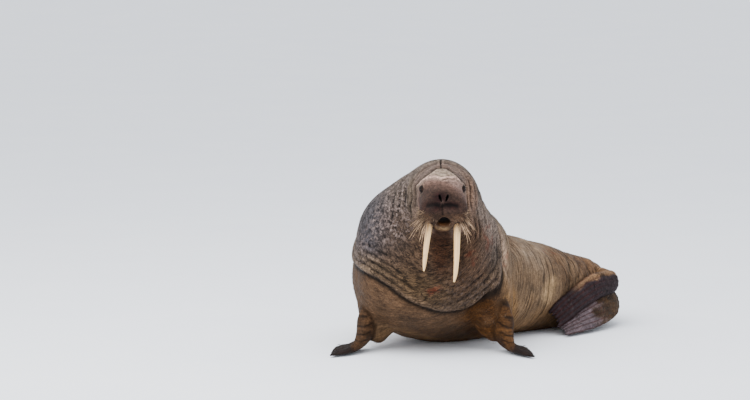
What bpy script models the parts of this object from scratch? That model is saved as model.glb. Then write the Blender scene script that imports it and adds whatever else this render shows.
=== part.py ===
"""Atlantic walrus, adult male, resting with its chest raised: solids for the still, life-size model.

Metres, +Z up. The head looks towards -Y; +X is the walrus's left side.
The body is one smooth solid drawn from a table of stations and cut into nodes by planes.
"""
import math
import random

import bpy
import bmesh
import numpy as np
from mathutils import Vector

# sizes that drive the model, in metres
GAP = 0.0003
BLEND = 0.016
FRONT_CAP = 0.10
BACK_CAP = 0.085
EYE_RADIUS = 0.017
LID_RADIUS = 0.0058
TUSK_RADIUS = 0.0245
WHISKERS_PER_SIDE = 45
WHISKER_ROOT = 0.0014
WHISKER_TIP = 0.0006
MUZZLE_FROM = 0.070
JAW_FROM = 0.020

# how finely each node is drawn: points around the body
AROUND = {"head": 54, "neck": 46, "chest": 46, "torso": 38, "hindquarters": 34}
FRONT_RINGS = 21
BACK_RINGS = 5

# station: centre x, y, z, yaw, pitch, roll, half width, height above, height below, squareness
STATIONS = {
    "occiput": (0.075, -0.030, 1.011, -3.0, -14.0, 0.0, 0.198, 0.153, 0.235, 2.0),
    "nape": (0.054, 0.060, 0.935, -1.0, -27.0, 0.0, 0.242, 0.271, 0.330, 2.0),
    "neck": (-0.041, 0.160, 0.807, 8.0, -42.0, 0.0, 0.395, 0.297, 0.500, 2.1),
    "throat": (-0.032, 0.270, 0.677, 15.0, -47.0, 0.0, 0.448, 0.350, 0.610, 2.2),
    "shoulder": (0.005, 0.400, 0.529, 22.0, -38.0, 0.0, 0.505, 0.389, 0.540, 2.2),
    "chest": (0.116, 0.620, 0.380, 34.0, -22.0, 0.0, 0.477, 0.337, 0.420, 2.2),
    "trunk": (0.361, 0.830, 0.314, 43.0, -9.0, 0.0, 0.410, 0.328, 0.330, 2.2),
    "waist": (0.606, 1.061, 0.267, 45.0, -5.0, 0.0, 0.345, 0.294, 0.289, 2.2),
    "loin": (0.805, 1.248, 0.213, 46.0, -5.0, 0.0, 0.272, 0.259, 0.243, 2.2),
    "hip": (0.955, 1.389, 0.186, 46.0, -4.0, 0.0, 0.212, 0.230, 0.196, 2.1),
    "rump": (1.035, 1.456, 0.167, 46.0, 0.0, 0.0, 0.168, 0.206, 0.167, 2.0),
}
TABLE = np.array(list(STATIONS.values()))

# where the body is cut into nodes, in stations counted from the first
CUTS = (1.00, 3.45, 5.40, 7.70)

HEAD_AT = np.array((0.058, -0.165, 1.040))
HEAD_YAW = -3.5
HEAD_PITCH = 2.0

# forms of the head: centre right, forward, up of HEAD_AT, then the three radii
HEAD_FORMS = {
    "cranium": ((0.0, -0.06, 0.000), (0.137, 0.180, 0.106)),
    "brow": ((0.0, 0.03, 0.005), (0.108, 0.105, 0.066)),
    "snout": ((0.0, 0.085, -0.060), (0.122, 0.095, 0.100)),
    "cheek_left": ((0.080, -0.02, -0.09), (0.068, 0.120, 0.110)),
    "cheek_right": ((-0.080, -0.02, -0.09), (0.068, 0.120, 0.110)),
    "pad_left": ((0.069, 0.128, -0.125), (0.078, 0.076, 0.092)),
    "pad_right": ((-0.069, 0.128, -0.125), (0.078, 0.076, 0.092)),
    "nose": ((0.0, 0.145, -0.020), (0.078, 0.055, 0.058)),
    "jaw": ((0.0, 0.030, -0.205), (0.085, 0.125, 0.055)),
}
# forms of the body: centre, radii across, along, up, then yaw and pitch
BODY_FORMS = {
    "arm_left": ((0.385, 0.180, 0.290), (0.125, 0.170, 0.270), 10.0, -15.0),
    "arm_right": ((-0.330, 0.210, 0.290), (0.125, 0.170, 0.270), 10.0, -15.0),
}

# eyes and tusks, in the head's own axes (right, forward, up)
EYE_AT = (0.1225, 0.043, 0.004)
EYE_LOOK = (0.86, 0.50, 0.06)

# the neck hangs over the chest: station of that fold's edge for angles around the body in degrees
FOLD_EDGE = {-180: 2.50, -169: 2.28, -157: 2.18, -141: 2.30, -125: 2.80, -109: 3.30, -80: 3.42, -40: 3.20,
             0: 3.05, 40: 3.00, 67: 3.02, 80: 3.28, 90: 3.50, 104: 3.80, 119: 3.68, 130: 3.66, 143: 3.55,
             157: 3.29, 168: 2.85}
FOLD_DEPTH = 0.024
FOLD_ROLL = 0.010
NAPE_GROOVE = 0.010
NOSE_GROOVE = 0.010

# the mouth: height of the upper lip's middle in the head's axes, its drop at the sides, the gap below
LIP_MIDDLE = -0.172
LIP_DROP = 0.055
LIP_PARTING = 0.016

TUSK_CURVES = {
    "left": ((0.088, 0.095, -0.150), (0.086, 0.105, -0.212), (0.085, 0.112, -0.300),
             (0.083, 0.113, -0.400), (0.078, 0.108, -0.500), (0.070, 0.100, -0.562)),
    "right": ((-0.078, 0.095, -0.150), (-0.084, 0.105, -0.212), (-0.097, 0.112, -0.290),
              (-0.107, 0.113, -0.370), (-0.113, 0.109, -0.440), (-0.117, 0.104, -0.492)),
}

# flippers: rows of leading-edge point, trailing-edge point, thickness above and below
FORE_LEFT = (
    ((0.430, 0.080, 0.350), (0.320, 0.270, 0.290), 0.055, 0.055),
    ((0.475, -0.005, 0.220), (0.365, 0.200, 0.170), 0.062, 0.058),
    ((0.478, -0.080, 0.120), (0.400, 0.120, 0.088), 0.050, 0.042),
    ((0.495, -0.145, 0.052), (0.440, 0.090, 0.045), 0.036, 0.030),
    ((0.535, -0.205, 0.026), (0.495, 0.075, 0.022), 0.030, 0.018),
    ((0.580, -0.250, 0.020), (0.545, 0.060, 0.018), 0.022, 0.014),
    ((0.612, -0.282, 0.016), (0.580, 0.045, 0.014), 0.014, 0.010),
    ((0.632, -0.302, 0.012), (0.596, 0.038, 0.010), 0.006, 0.006),
)
FORE_RIGHT = (
    ((-0.380, 0.110, 0.350), (-0.290, 0.300, 0.290), 0.055, 0.055),
    ((-0.425, 0.020, 0.220), (-0.345, 0.235, 0.170), 0.062, 0.058),
    ((-0.440, -0.060, 0.120), (-0.385, 0.155, 0.088), 0.050, 0.042),
    ((-0.470, -0.120, 0.052), (-0.430, 0.130, 0.045), 0.036, 0.030),
    ((-0.520, -0.175, 0.026), (-0.495, 0.120, 0.022), 0.030, 0.018),
    ((-0.575, -0.212, 0.020), (-0.550, 0.110, 0.018), 0.022, 0.014),
    ((-0.612, -0.236, 0.016), (-0.585, 0.098, 0.014), 0.014, 0.010),
    ((-0.634, -0.250, 0.012), (-0.603, 0.092, 0.010), 0.006, 0.006),
)
HIND_LEFT = (
    ((0.985, 1.324, 0.330), (0.985, 1.316, 0.190), 0.055, 0.045),
    ((1.075, 1.294, 0.356), (1.080, 1.282, 0.196), 0.066, 0.050),
    ((1.135, 1.241, 0.343), (1.145, 1.222, 0.196), 0.068, 0.048),
    ((1.130, 1.170, 0.345), (1.150, 1.140, 0.198), 0.060, 0.045),
    ((1.035, 1.050, 0.343), (1.080, 1.005, 0.190), 0.042, 0.036),
    ((0.940, 0.934, 0.296), (0.993, 0.884, 0.155), 0.032, 0.030),
    ((0.855, 0.832, 0.242), (0.915, 0.776, 0.111), 0.026, 0.024),
    ((0.785, 0.757, 0.189), (0.850, 0.690, 0.074), 0.018, 0.018),
    ((0.735, 0.709, 0.142), (0.800, 0.634, 0.052), 0.007, 0.007),
)
HIND_RIGHT = (
    ((1.000, 1.335, 0.205), (1.000, 1.324, 0.055), 0.045, 0.040),
    ((1.090, 1.305, 0.215), (1.100, 1.290, 0.058), 0.052, 0.042),
    ((1.148, 1.245, 0.216), (1.165, 1.219, 0.058), 0.055, 0.042),
    ((1.145, 1.162, 0.212), (1.175, 1.121, 0.055), 0.050, 0.040),
    ((1.085, 1.045, 0.198), (1.135, 0.975, 0.042), 0.036, 0.030),
    ((1.002, 0.930, 0.160), (1.060, 0.832, 0.032), 0.028, 0.022),
    ((0.916, 0.826, 0.120), (0.975, 0.720, 0.024), 0.022, 0.017),
    ((0.846, 0.748, 0.085), (0.900, 0.634, 0.018), 0.015, 0.012),
    ((0.792, 0.695, 0.055), (0.845, 0.578, 0.014), 0.006, 0.006),
)
TAIL = (
    ((1.048, 1.510, 0.138), (1.123, 1.434, 0.138), 0.034, 0.034),
    ((1.074, 1.538, 0.124), (1.145, 1.468, 0.124), 0.030, 0.030),
    ((1.095, 1.560, 0.110), (1.159, 1.496, 0.110), 0.024, 0.024),
    ((1.111, 1.572, 0.100), (1.160, 1.522, 0.100), 0.012, 0.012),
)

# digits of a flipper: how many, height of their ridges, depth of the lobes and of the forked end
DIGITS = 5
FORE_SHAPE = (0.28, 0.022, 0.0)
HIND_SHAPE = (0.25, 0.024, 0.030)
TAIL_SHAPE = (0.0, 0.0, 0.0)

COLOURS = {
    "skin_neck": (0.300, 0.225, 0.185, 1.0),
    "skin_body": (0.330, 0.215, 0.125, 1.0),
    "skin_flipper": (0.070, 0.052, 0.055, 1.0),
    "skin_muzzle": (0.260, 0.190, 0.175, 1.0),
    "ivory": (0.800, 0.700, 0.500, 1.0),
    "eye": (0.020, 0.013, 0.010, 1.0),
}


def clear_scene():
    """Take away whatever objects the scene already holds."""
    for item in list(bpy.data.objects):
        bpy.data.objects.remove(item, do_unlink=True)


def unit(v):
    """Vectors of length one."""
    v = np.asarray(v, float)
    return v / np.linalg.norm(v, axis=-1, keepdims=True)


def smooth_step(x):
    """Zero below zero, one above one, smooth between."""
    x = np.clip(x, 0.0, 1.0)
    return x * x * (3.0 - 2.0 * x)


def ring_axes(yaw, pitch):
    """Tailward, upward and leftward unit vectors of a ring, from its angles in degrees."""
    a = np.radians(yaw)
    b = np.radians(pitch)
    tailward = np.stack([np.sin(a) * np.cos(b), np.cos(a) * np.cos(b), np.sin(b)], -1)
    upward = np.stack([-np.sin(a) * np.sin(b), -np.cos(a) * np.sin(b), np.cos(b)], -1)
    leftward = np.stack([np.cos(a), -np.sin(a), 0.0 * a], -1)
    return tailward, upward, leftward


def spline(table, t):
    """Smooth curve through the rows of a table, read at real-valued row numbers."""
    count = len(table)
    i = np.clip(np.floor(t).astype(int), 0, count - 2)
    u = (t - i)[..., None]
    ends = np.vstack([2 * table[0] - table[1], table, 2 * table[-1] - table[-2]])
    a = ends[i]
    b = ends[i + 1]
    c = ends[i + 2]
    d = ends[i + 3]
    return 0.5 * (2 * b + (c - a) * u + (2 * a - 5 * b + 4 * c - d) * u**2
                  + (3 * b - a - 3 * c + d) * u**3)


def head_axes():
    """Right, forward and up of the head, as rows. Right here is image right, the walrus's left."""
    tailward, upward, leftward = ring_axes(np.array(HEAD_YAW), np.array(HEAD_PITCH))
    return np.stack([leftward, -tailward, upward])


def head_point(local):
    """World position of a point given in the head's own axes."""
    return HEAD_AT + np.asarray(local, float) @ head_axes()


def head_local(points):
    """The head's own coordinates of world points."""
    return (np.asarray(points) - HEAD_AT) @ head_axes().T


def all_forms():
    """Every rounded form as centre, radii and axes."""
    axes = head_axes()
    forms = [(head_point(c), np.array(r), axes) for c, r in HEAD_FORMS.values()]
    for centre, radii, yaw, pitch in BODY_FORMS.values():
        tailward, upward, leftward = ring_axes(np.array(yaw), np.array(pitch))
        forms.append((np.array(centre), np.array(radii), np.stack([leftward, -tailward, upward])))
    return forms


FORMS = all_forms()


def form_distance(p, centre, radii, axes):
    """Near distance of points from an ellipsoid, negative inside."""
    q = (p - centre) @ axes.T
    near = np.sqrt(((q / radii) ** 2).sum(-1)) + 1e-9
    slope = np.sqrt(((q / np.square(radii)) ** 2).sum(-1)) + 1e-9
    return near * (near - 1.0) / slope


def fold_relief(t, theta):
    """How far the neck's hanging fold rolls out, or dips in behind its edge."""
    angle = np.degrees(theta)
    edge = np.interp(angle, list(FOLD_EDGE.keys()), list(FOLD_EDGE.values()), period=360)
    x = t - edge
    crease = -np.where(x > 0, np.exp(-np.maximum(x, 0) / 0.30), np.exp(np.minimum(x, 0) / 0.05))
    roll = np.exp(-((x + 0.22) / 0.17) ** 2)
    share = 0.12 + 0.88 * smooth_step((0.30 - np.cos(theta)) / 0.5)
    nape = NAPE_GROOVE * np.exp(-((t - 0.40) / 0.14) ** 2) * smooth_step((np.cos(theta) + 0.25) / 0.8)
    return share * (FOLD_DEPTH * crease + FOLD_ROLL * roll) - nape


def nose_relief(p):
    """The groove between the nose and the whisker pads."""
    local = head_local(p)
    front = smooth_step((local[..., 1] - 0.10) / 0.05)
    return -NOSE_GROOVE * front * np.exp(-((local[..., 2] + 0.088) / 0.012) ** 2
                                         - (local[..., 0] / 0.085) ** 2)


def body_points(t, phi, theta):
    """Points of the body's surface.

    t is the station, phi the angle from the forward pole (a right angle along the trunk)
    and theta the angle around from the top towards the walrus's left.
    """
    row = spline(TABLE, t)
    tailward, upward, leftward = ring_axes(row[..., 3], row[..., 4])
    ct = np.cos(theta)[..., None]
    st = np.sin(theta)[..., None]
    ring = ct * upward + st * leftward
    way = np.sin(phi)[..., None] * ring - np.cos(phi)[..., None] * tailward
    height = np.where(np.cos(theta) > 0, row[..., 7], row[..., 8])
    m = row[..., 9]
    base = (np.abs(np.sin(theta) / row[..., 6]) ** m + np.abs(np.cos(theta) / height) ** m) ** (-1 / m)
    cap = np.where(np.cos(phi) > 0, FRONT_CAP, BACK_CAP)
    base = 1 / np.sqrt((np.cos(phi) / cap) ** 2 + (np.sin(phi) / base) ** 2)
    origin = row[..., :3]
    low = np.zeros(base.shape)
    high = np.full(base.shape, 1.1)
    for _ in range(28):
        mid = (low + high) / 2
        p = origin + way * mid[..., None]
        total = np.exp(-np.clip((mid - base) / BLEND, -60, 60))
        for centre, radii, axes in FORMS:
            total = total + np.exp(-np.clip(form_distance(p, centre, radii, axes) / BLEND, -60, 60))
        outside = np.log(total) < 0
        high = np.where(outside, mid, high)
        low = np.where(outside, low, mid)
    r = (low + high) / 2
    r = r + np.where(np.cos(phi) < 1e-6, fold_relief(t, theta), nose_relief(origin + way * r[..., None]))
    r = np.minimum(r, origin[..., 2] / np.maximum(-way[..., 2], 1e-6))
    return origin + way * r[..., None]


def grid_faces(rows, around):
    """Quads between neighbouring rings."""
    faces = []
    for i in range(rows - 1):
        for j in range(around):
            k = (j + 1) % around
            faces.append((i * around + j, i * around + k, (i + 1) * around + k, (i + 1) * around + j))
    return faces


def make_object(name, verts, faces, collection, smooth=True):
    """An object from points and faces, as triangles turned outward, so that a grown copy matches it."""
    mesh = bpy.data.meshes.new(name)
    mesh.from_pydata([tuple(v) for v in verts], [], faces)
    mesh.update()
    work = bmesh.new()
    work.from_mesh(mesh)
    bmesh.ops.remove_doubles(work, verts=work.verts, dist=1e-6)
    bmesh.ops.triangulate(work, faces=work.faces)
    bmesh.ops.recalc_face_normals(work, faces=work.faces)
    if work.calc_volume(signed=True) < 0:
        bmesh.ops.reverse_faces(work, faces=work.faces)
    work.to_mesh(mesh)
    work.free()
    for polygon in mesh.polygons:
        polygon.use_smooth = smooth
    item = bpy.data.objects.new(name, mesh)
    collection.objects.link(item)
    return item


def closed_loft(name, rings, collection, start="cap", end="cap"):
    """A closed solid through rings of points; an end is a centre point (pole) or a fan of faces (cap)."""
    rings = [np.asarray(r) for r in rings]
    around = len(rings[0])
    verts = np.vstack(rings)
    faces = grid_faces(len(rings), around)
    for which, mode in (("start", start), ("end", end)):
        first = 0 if which == "start" else (len(rings) - 1) * around
        if isinstance(mode, str) and mode == "strip":
            half = around // 2
            for j in range(half - 1):
                a = first + j
                b = first + j + 1
                c = first + (around - j - 1) % around
                d = first + (around - j) % around
                if j == 0:
                    faces.append((first, b, c))
                else:
                    faces.append((a, b, c, d))
            a = first + half - 1
            faces.append((a, first + half, first + half + 1))
        else:
            centre = verts[first:first + around].mean(0) if isinstance(mode, str) else np.asarray(mode)
            verts = np.vstack([verts, centre])
            for j in range(around):
                faces.append((first + j, first + (j + 1) % around, len(verts) - 1))
    return make_object(name, verts, faces, collection)


def body_node(name, stations, around, collection, front=0, back=0):
    """One node of the body between two stations, with a rounded front or back if it has one."""
    theta = np.arange(around) * 2 * math.pi / around
    rings = []
    start = "cap"
    end = "cap"
    first = stations[0]
    last = stations[-1]
    if front:
        for phi in np.linspace(0, math.pi / 2, front, endpoint=False)[1:]:
            rings.append(body_points(np.full(around, first), np.full(around, phi), theta))
        start = body_points(np.array(first), np.array(0.0), np.array(0.0))
    for t in stations:
        ring = body_points(np.full(around, t), np.full(around, math.pi / 2), theta)
        rings.append(ring)
    if not front:
        row = spline(TABLE, np.array(first))
        tailward, _, _ = ring_axes(row[3], row[4])
        rings[0] = rings[0] + tailward * GAP
    if back:
        for phi in np.linspace(math.pi / 2, math.pi, back + 1)[1:-1]:
            rings.append(body_points(np.full(around, last), np.full(around, phi), theta))
        end = body_points(np.array(last), np.array(math.pi), np.array(0.0))
    return closed_loft(name, rings, collection, start, end)


def flipper(name, rows, sign, across, digits, shape, collection):
    """A flat paddle through rows of edge points, its digits as ridges above and lobes at the tip."""
    ridge, scallop, fork = shape
    psi = np.arange(2 * across) * math.pi / across
    v = np.cos(psi)
    h = np.sin(psi)
    lead = np.array([r[0] for r in rows])
    trail = np.array([r[1] for r in rows])
    upper = np.array([r[2] for r in rows])
    under = np.array([r[3] for r in rows])
    along = np.gradient((lead + trail) / 2, axis=0)
    normal = unit(np.cross(lead - trail, along)) * sign
    rings = []
    count = len(rows)
    wave = np.cos(math.pi * digits * (v + 1.0))
    for k in range(count):
        mid = (lead[k] + trail[k]) / 2 + (lead[k] - trail[k]) / 2 * v[:, None]
        share = k / (count - 1)
        rise = np.where(h > 0, upper[k], under[k]) * np.sign(h) * np.abs(h) ** 0.75
        rise = rise * np.where(h > 0, 1.0 - ridge * share**2 * wave, 1.0)
        ring = mid + normal[k] * rise[:, None]
        if k >= count - 3:
            before = (lead[k - 1] + trail[k - 1]) / 2
            here = (lead[k] + trail[k]) / 2
            step = unit(here - before)
            amount = scallop * (k - count + 4) / 3.0
            hollow = fork * (k - count + 4) / 3.0 * (1.0 - v**2)
            ring = ring - step * (amount * (0.5 + 0.5 * wave) + hollow)[:, None]
        ring[:, 2] = np.maximum(ring[:, 2], 0.0)
        rings.append(ring)
    return closed_loft(name, rings, collection, "strip", "strip")


def tube(name, path, radii, sides, collection, flat=1.0, axis=None):
    """A round-ended rod along a path of points; flat narrows it across the given axis."""
    path = np.asarray(path, float)
    along = unit(np.gradient(path, axis=0))
    side = np.array(axis if axis is not None else (0.0, 1.0, 0.0))
    a = np.arange(sides) * 2 * math.pi / sides
    rings = []
    for p, t, r in zip(path, along, radii):
        x = unit(side - t * (side @ t))
        y = np.cross(t, x)
        rings.append(p + r * (np.cos(a)[:, None] * x + flat * np.sin(a)[:, None] * y))
    return closed_loft(name, rings, collection, path[0] - along[0] * radii[0] * 0.3,
                       path[-1] + along[-1] * radii[-1] * 0.6)


def ball(name, centre, radius, collection, rows=9, around=16):
    """A sphere drawn as rings between two poles."""
    a = np.arange(around) * 2 * math.pi / around
    rings = []
    for phi in np.linspace(0, math.pi, rows + 1)[1:-1]:
        ring = np.stack([np.sin(phi) * np.cos(a), np.sin(phi) * np.sin(a), np.full(around, np.cos(phi))], -1)
        rings.append(np.asarray(centre) + radius * ring)
    top = np.asarray(centre) + (0.0, 0.0, radius)
    bottom = np.asarray(centre) - (0.0, 0.0, radius)
    return closed_loft(name, rings, collection, top, bottom)


def boolean(item, other, operation, solver="EXACT"):
    """Apply one Boolean to an object, with an object or with every object of a collection."""
    change = item.modifiers.new("change", "BOOLEAN")
    change.operation = operation
    change.solver = solver
    if isinstance(other, bpy.types.Collection):
        change.operand_type = "COLLECTION"
        change.collection = other
    else:
        change.object = other
    bpy.context.view_layer.update()
    graph = bpy.context.evaluated_depsgraph_get()
    mesh = bpy.data.meshes.new_from_object(item.evaluated_get(graph))
    if len(mesh.vertices) == 0 and solver == "EXACT":
        print(item.name, "cut again with the other solver")
        item.modifiers.clear()
        boolean(item, other, operation, "MANIFOLD")
        return
    item.modifiers.clear()
    old = item.data
    item.data = mesh
    bpy.data.meshes.remove(old)
    mesh.name = item.name
    for polygon in mesh.polygons:
        polygon.use_smooth = True


def grown(item, collection, amount=GAP):
    """A copy of an object pushed out along its normals."""
    copy = item.copy()
    copy.data = item.data.copy()
    copy.name = item.name + "_grown"
    collection.objects.link(copy)
    work = bmesh.new()
    work.from_mesh(copy.data)
    work.normal_update()
    for v in work.verts:
        v.co += v.normal * amount
    work.to_mesh(copy.data)
    work.free()
    return copy


def drop(item):
    """Remove a helper object."""
    bpy.data.objects.remove(item, do_unlink=True)


def keep_largest(item):
    """Keep only the largest closed surface of an object."""
    work = bmesh.new()
    work.from_mesh(item.data)
    work.verts.ensure_lookup_table()
    seen = set()
    groups = []
    for v in work.verts:
        if v.index in seen:
            continue
        stack = [v]
        group = []
        seen.add(v.index)
        while stack:
            w = stack.pop()
            group.append(w)
            for e in w.link_edges:
                o = e.other_vert(w)
                if o.index not in seen:
                    seen.add(o.index)
                    stack.append(o)
        groups.append(group)

    def spread(group):
        points = np.array([v.co[:] for v in group])
        return float(np.prod(points.max(0) - points.min(0)))

    groups.sort(key=spread, reverse=True)
    if len(groups) > 1:
        print(item.name, "loose", [(len(g), tuple(round(x, 3) for x in g[0].co)) for g in groups[1:6]])
    for group in groups[1:]:
        bmesh.ops.delete(work, geom=group, context="VERTS")
    work.to_mesh(item.data)
    work.free()
    return len(groups)


def mouth_height(right):
    """Height of the underside of the upper lip in the head's axes."""
    return LIP_MIDDLE - LIP_DROP * smooth_step((np.abs(right) - 0.025) / 0.045)


def mouth_opening(forward, right):
    """How far the lower lip lies below the upper one."""
    middle = 1.0 - smooth_step(np.abs(right) / 0.055)
    return GAP + LIP_PARTING * smooth_step((forward - 0.085) / 0.06) * middle


def lip_block(name, f0, f1, top, bottom, collection):
    """A block in the head's axes between two height functions of forward and right."""
    forward = np.array([f0, f0 + 0.02, f0 + 0.04, f0 + 0.06, f0 + 0.08, f0 + 0.11, f1])
    right = np.concatenate([[-0.30], np.linspace(-0.088, 0.088, 17), [0.30]])
    verts = []
    for f in forward:
        for r in right:
            verts.append(head_point((r, f, top(f, r))))
    for f in forward:
        for r in right:
            verts.append(head_point((r, f, bottom(f, r))))
    nf = len(forward)
    nr = len(right)
    base = nf * nr
    faces = []
    for i in range(nf - 1):
        for j in range(nr - 1):
            a = i * nr + j
            faces.append((a, a + 1, a + nr + 1, a + nr))
            faces.append((base + a, base + a + nr, base + a + nr + 1, base + a + 1))
    for i in range(nf - 1):
        for j in (0, nr - 1):
            a = i * nr + j
            faces.append((a, a + nr, base + a + nr, base + a))
    for j in range(nr - 1):
        for i in (0, nf - 1):
            a = i * nr + j
            faces.append((a, a + 1, base + a + 1, base + a))
    return make_object(name, verts, faces, collection, smooth=False)


def material(name):
    """A plain surface of the given colour."""
    item = bpy.data.materials.new(name)
    item.use_nodes = True
    shader = item.node_tree.nodes["Principled BSDF"]
    shader.inputs["Base Color"].default_value = COLOURS[name]
    shader.inputs["Roughness"].default_value = 0.25 if name in ("eye", "ivory") else 0.7
    return item


def tusk_path(label, count):
    """Points along the middle of a tusk."""
    knots = np.array([head_point(k) for k in TUSK_CURVES[label]])
    return spline(knots, np.linspace(0, len(knots) - 1, count))


def bristles(side, collection):
    """The bristles of one whisker pad, rooted in its surface and turned outward and down."""
    tusk = tusk_path("left" if side > 0 else "right", 60)
    dice = random.Random(41 + side)
    made = 0
    tries = 0
    while made < WHISKERS_PER_SIDE and tries < 4000:
        tries += 1
        phi = dice.uniform(0.35, 1.35)
        theta = dice.uniform(0.30, 1.0) * math.pi * side
        here = body_points(np.array(0.0), np.array(phi), np.array(theta))
        f_r, f_f, f_u = head_local(here)
        wide = abs(f_r)
        if f_f < MUZZLE_FROM + 0.012 or f_u > -0.085 or f_u < mouth_height(f_r) + 0.010:
            continue
        if wide < 0.018 or dice.random() > 0.35 + 0.65 * smooth_step((wide - 0.03) / 0.06):
            continue
        a = body_points(np.array(0.0), np.array(phi + 0.02), np.array(theta))
        b = body_points(np.array(0.0), np.array(phi), np.array(theta + 0.02))
        out = unit(np.cross(a - here, b - here)) * side
        centre = head_point((0.05 * side, 0.08, -0.12))
        if out @ (here - centre) < 0:
            out = -out
        low = smooth_step((-0.10 - f_u) / 0.10)
        length = 0.016 + 0.070 * smooth_step((wide - 0.055) / 0.08) * (0.35 + 0.65 * low)
        length = length * dice.uniform(0.8, 1.2)
        down = np.array((0.0, 0.0, -1.0))
        start = unit(out + 0.35 * down)
        finish = unit(out * 0.5 + down * (0.9 + 0.4 * low))
        steps = 3
        path = [here - out * 0.006]
        for k in range(steps):
            share = (k + 0.5) / steps
            path.append(path[-1] + unit(start * (1 - share) + finish * share) * (length + 0.006) / steps)
        reach = np.array(path)[:, None, :] - tusk[None, :, :]
        if np.sqrt((reach**2).sum(-1)).min() < TUSK_RADIUS + 0.008:
            continue
        local = head_local(np.array(path[1:]))
        if ((np.abs(local[:, 0]) < 0.10) & (local[:, 2] < -0.215) & (local[:, 1] < 0.17)).any():
            continue
        radii = [WHISKER_ROOT, WHISKER_ROOT * 0.85, WHISKER_TIP]
        tube("bristle", path[:1] + path[2:], radii, 3, collection, axis=(0.1, 1.0, 0.2))
        made += 1
    return made


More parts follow.
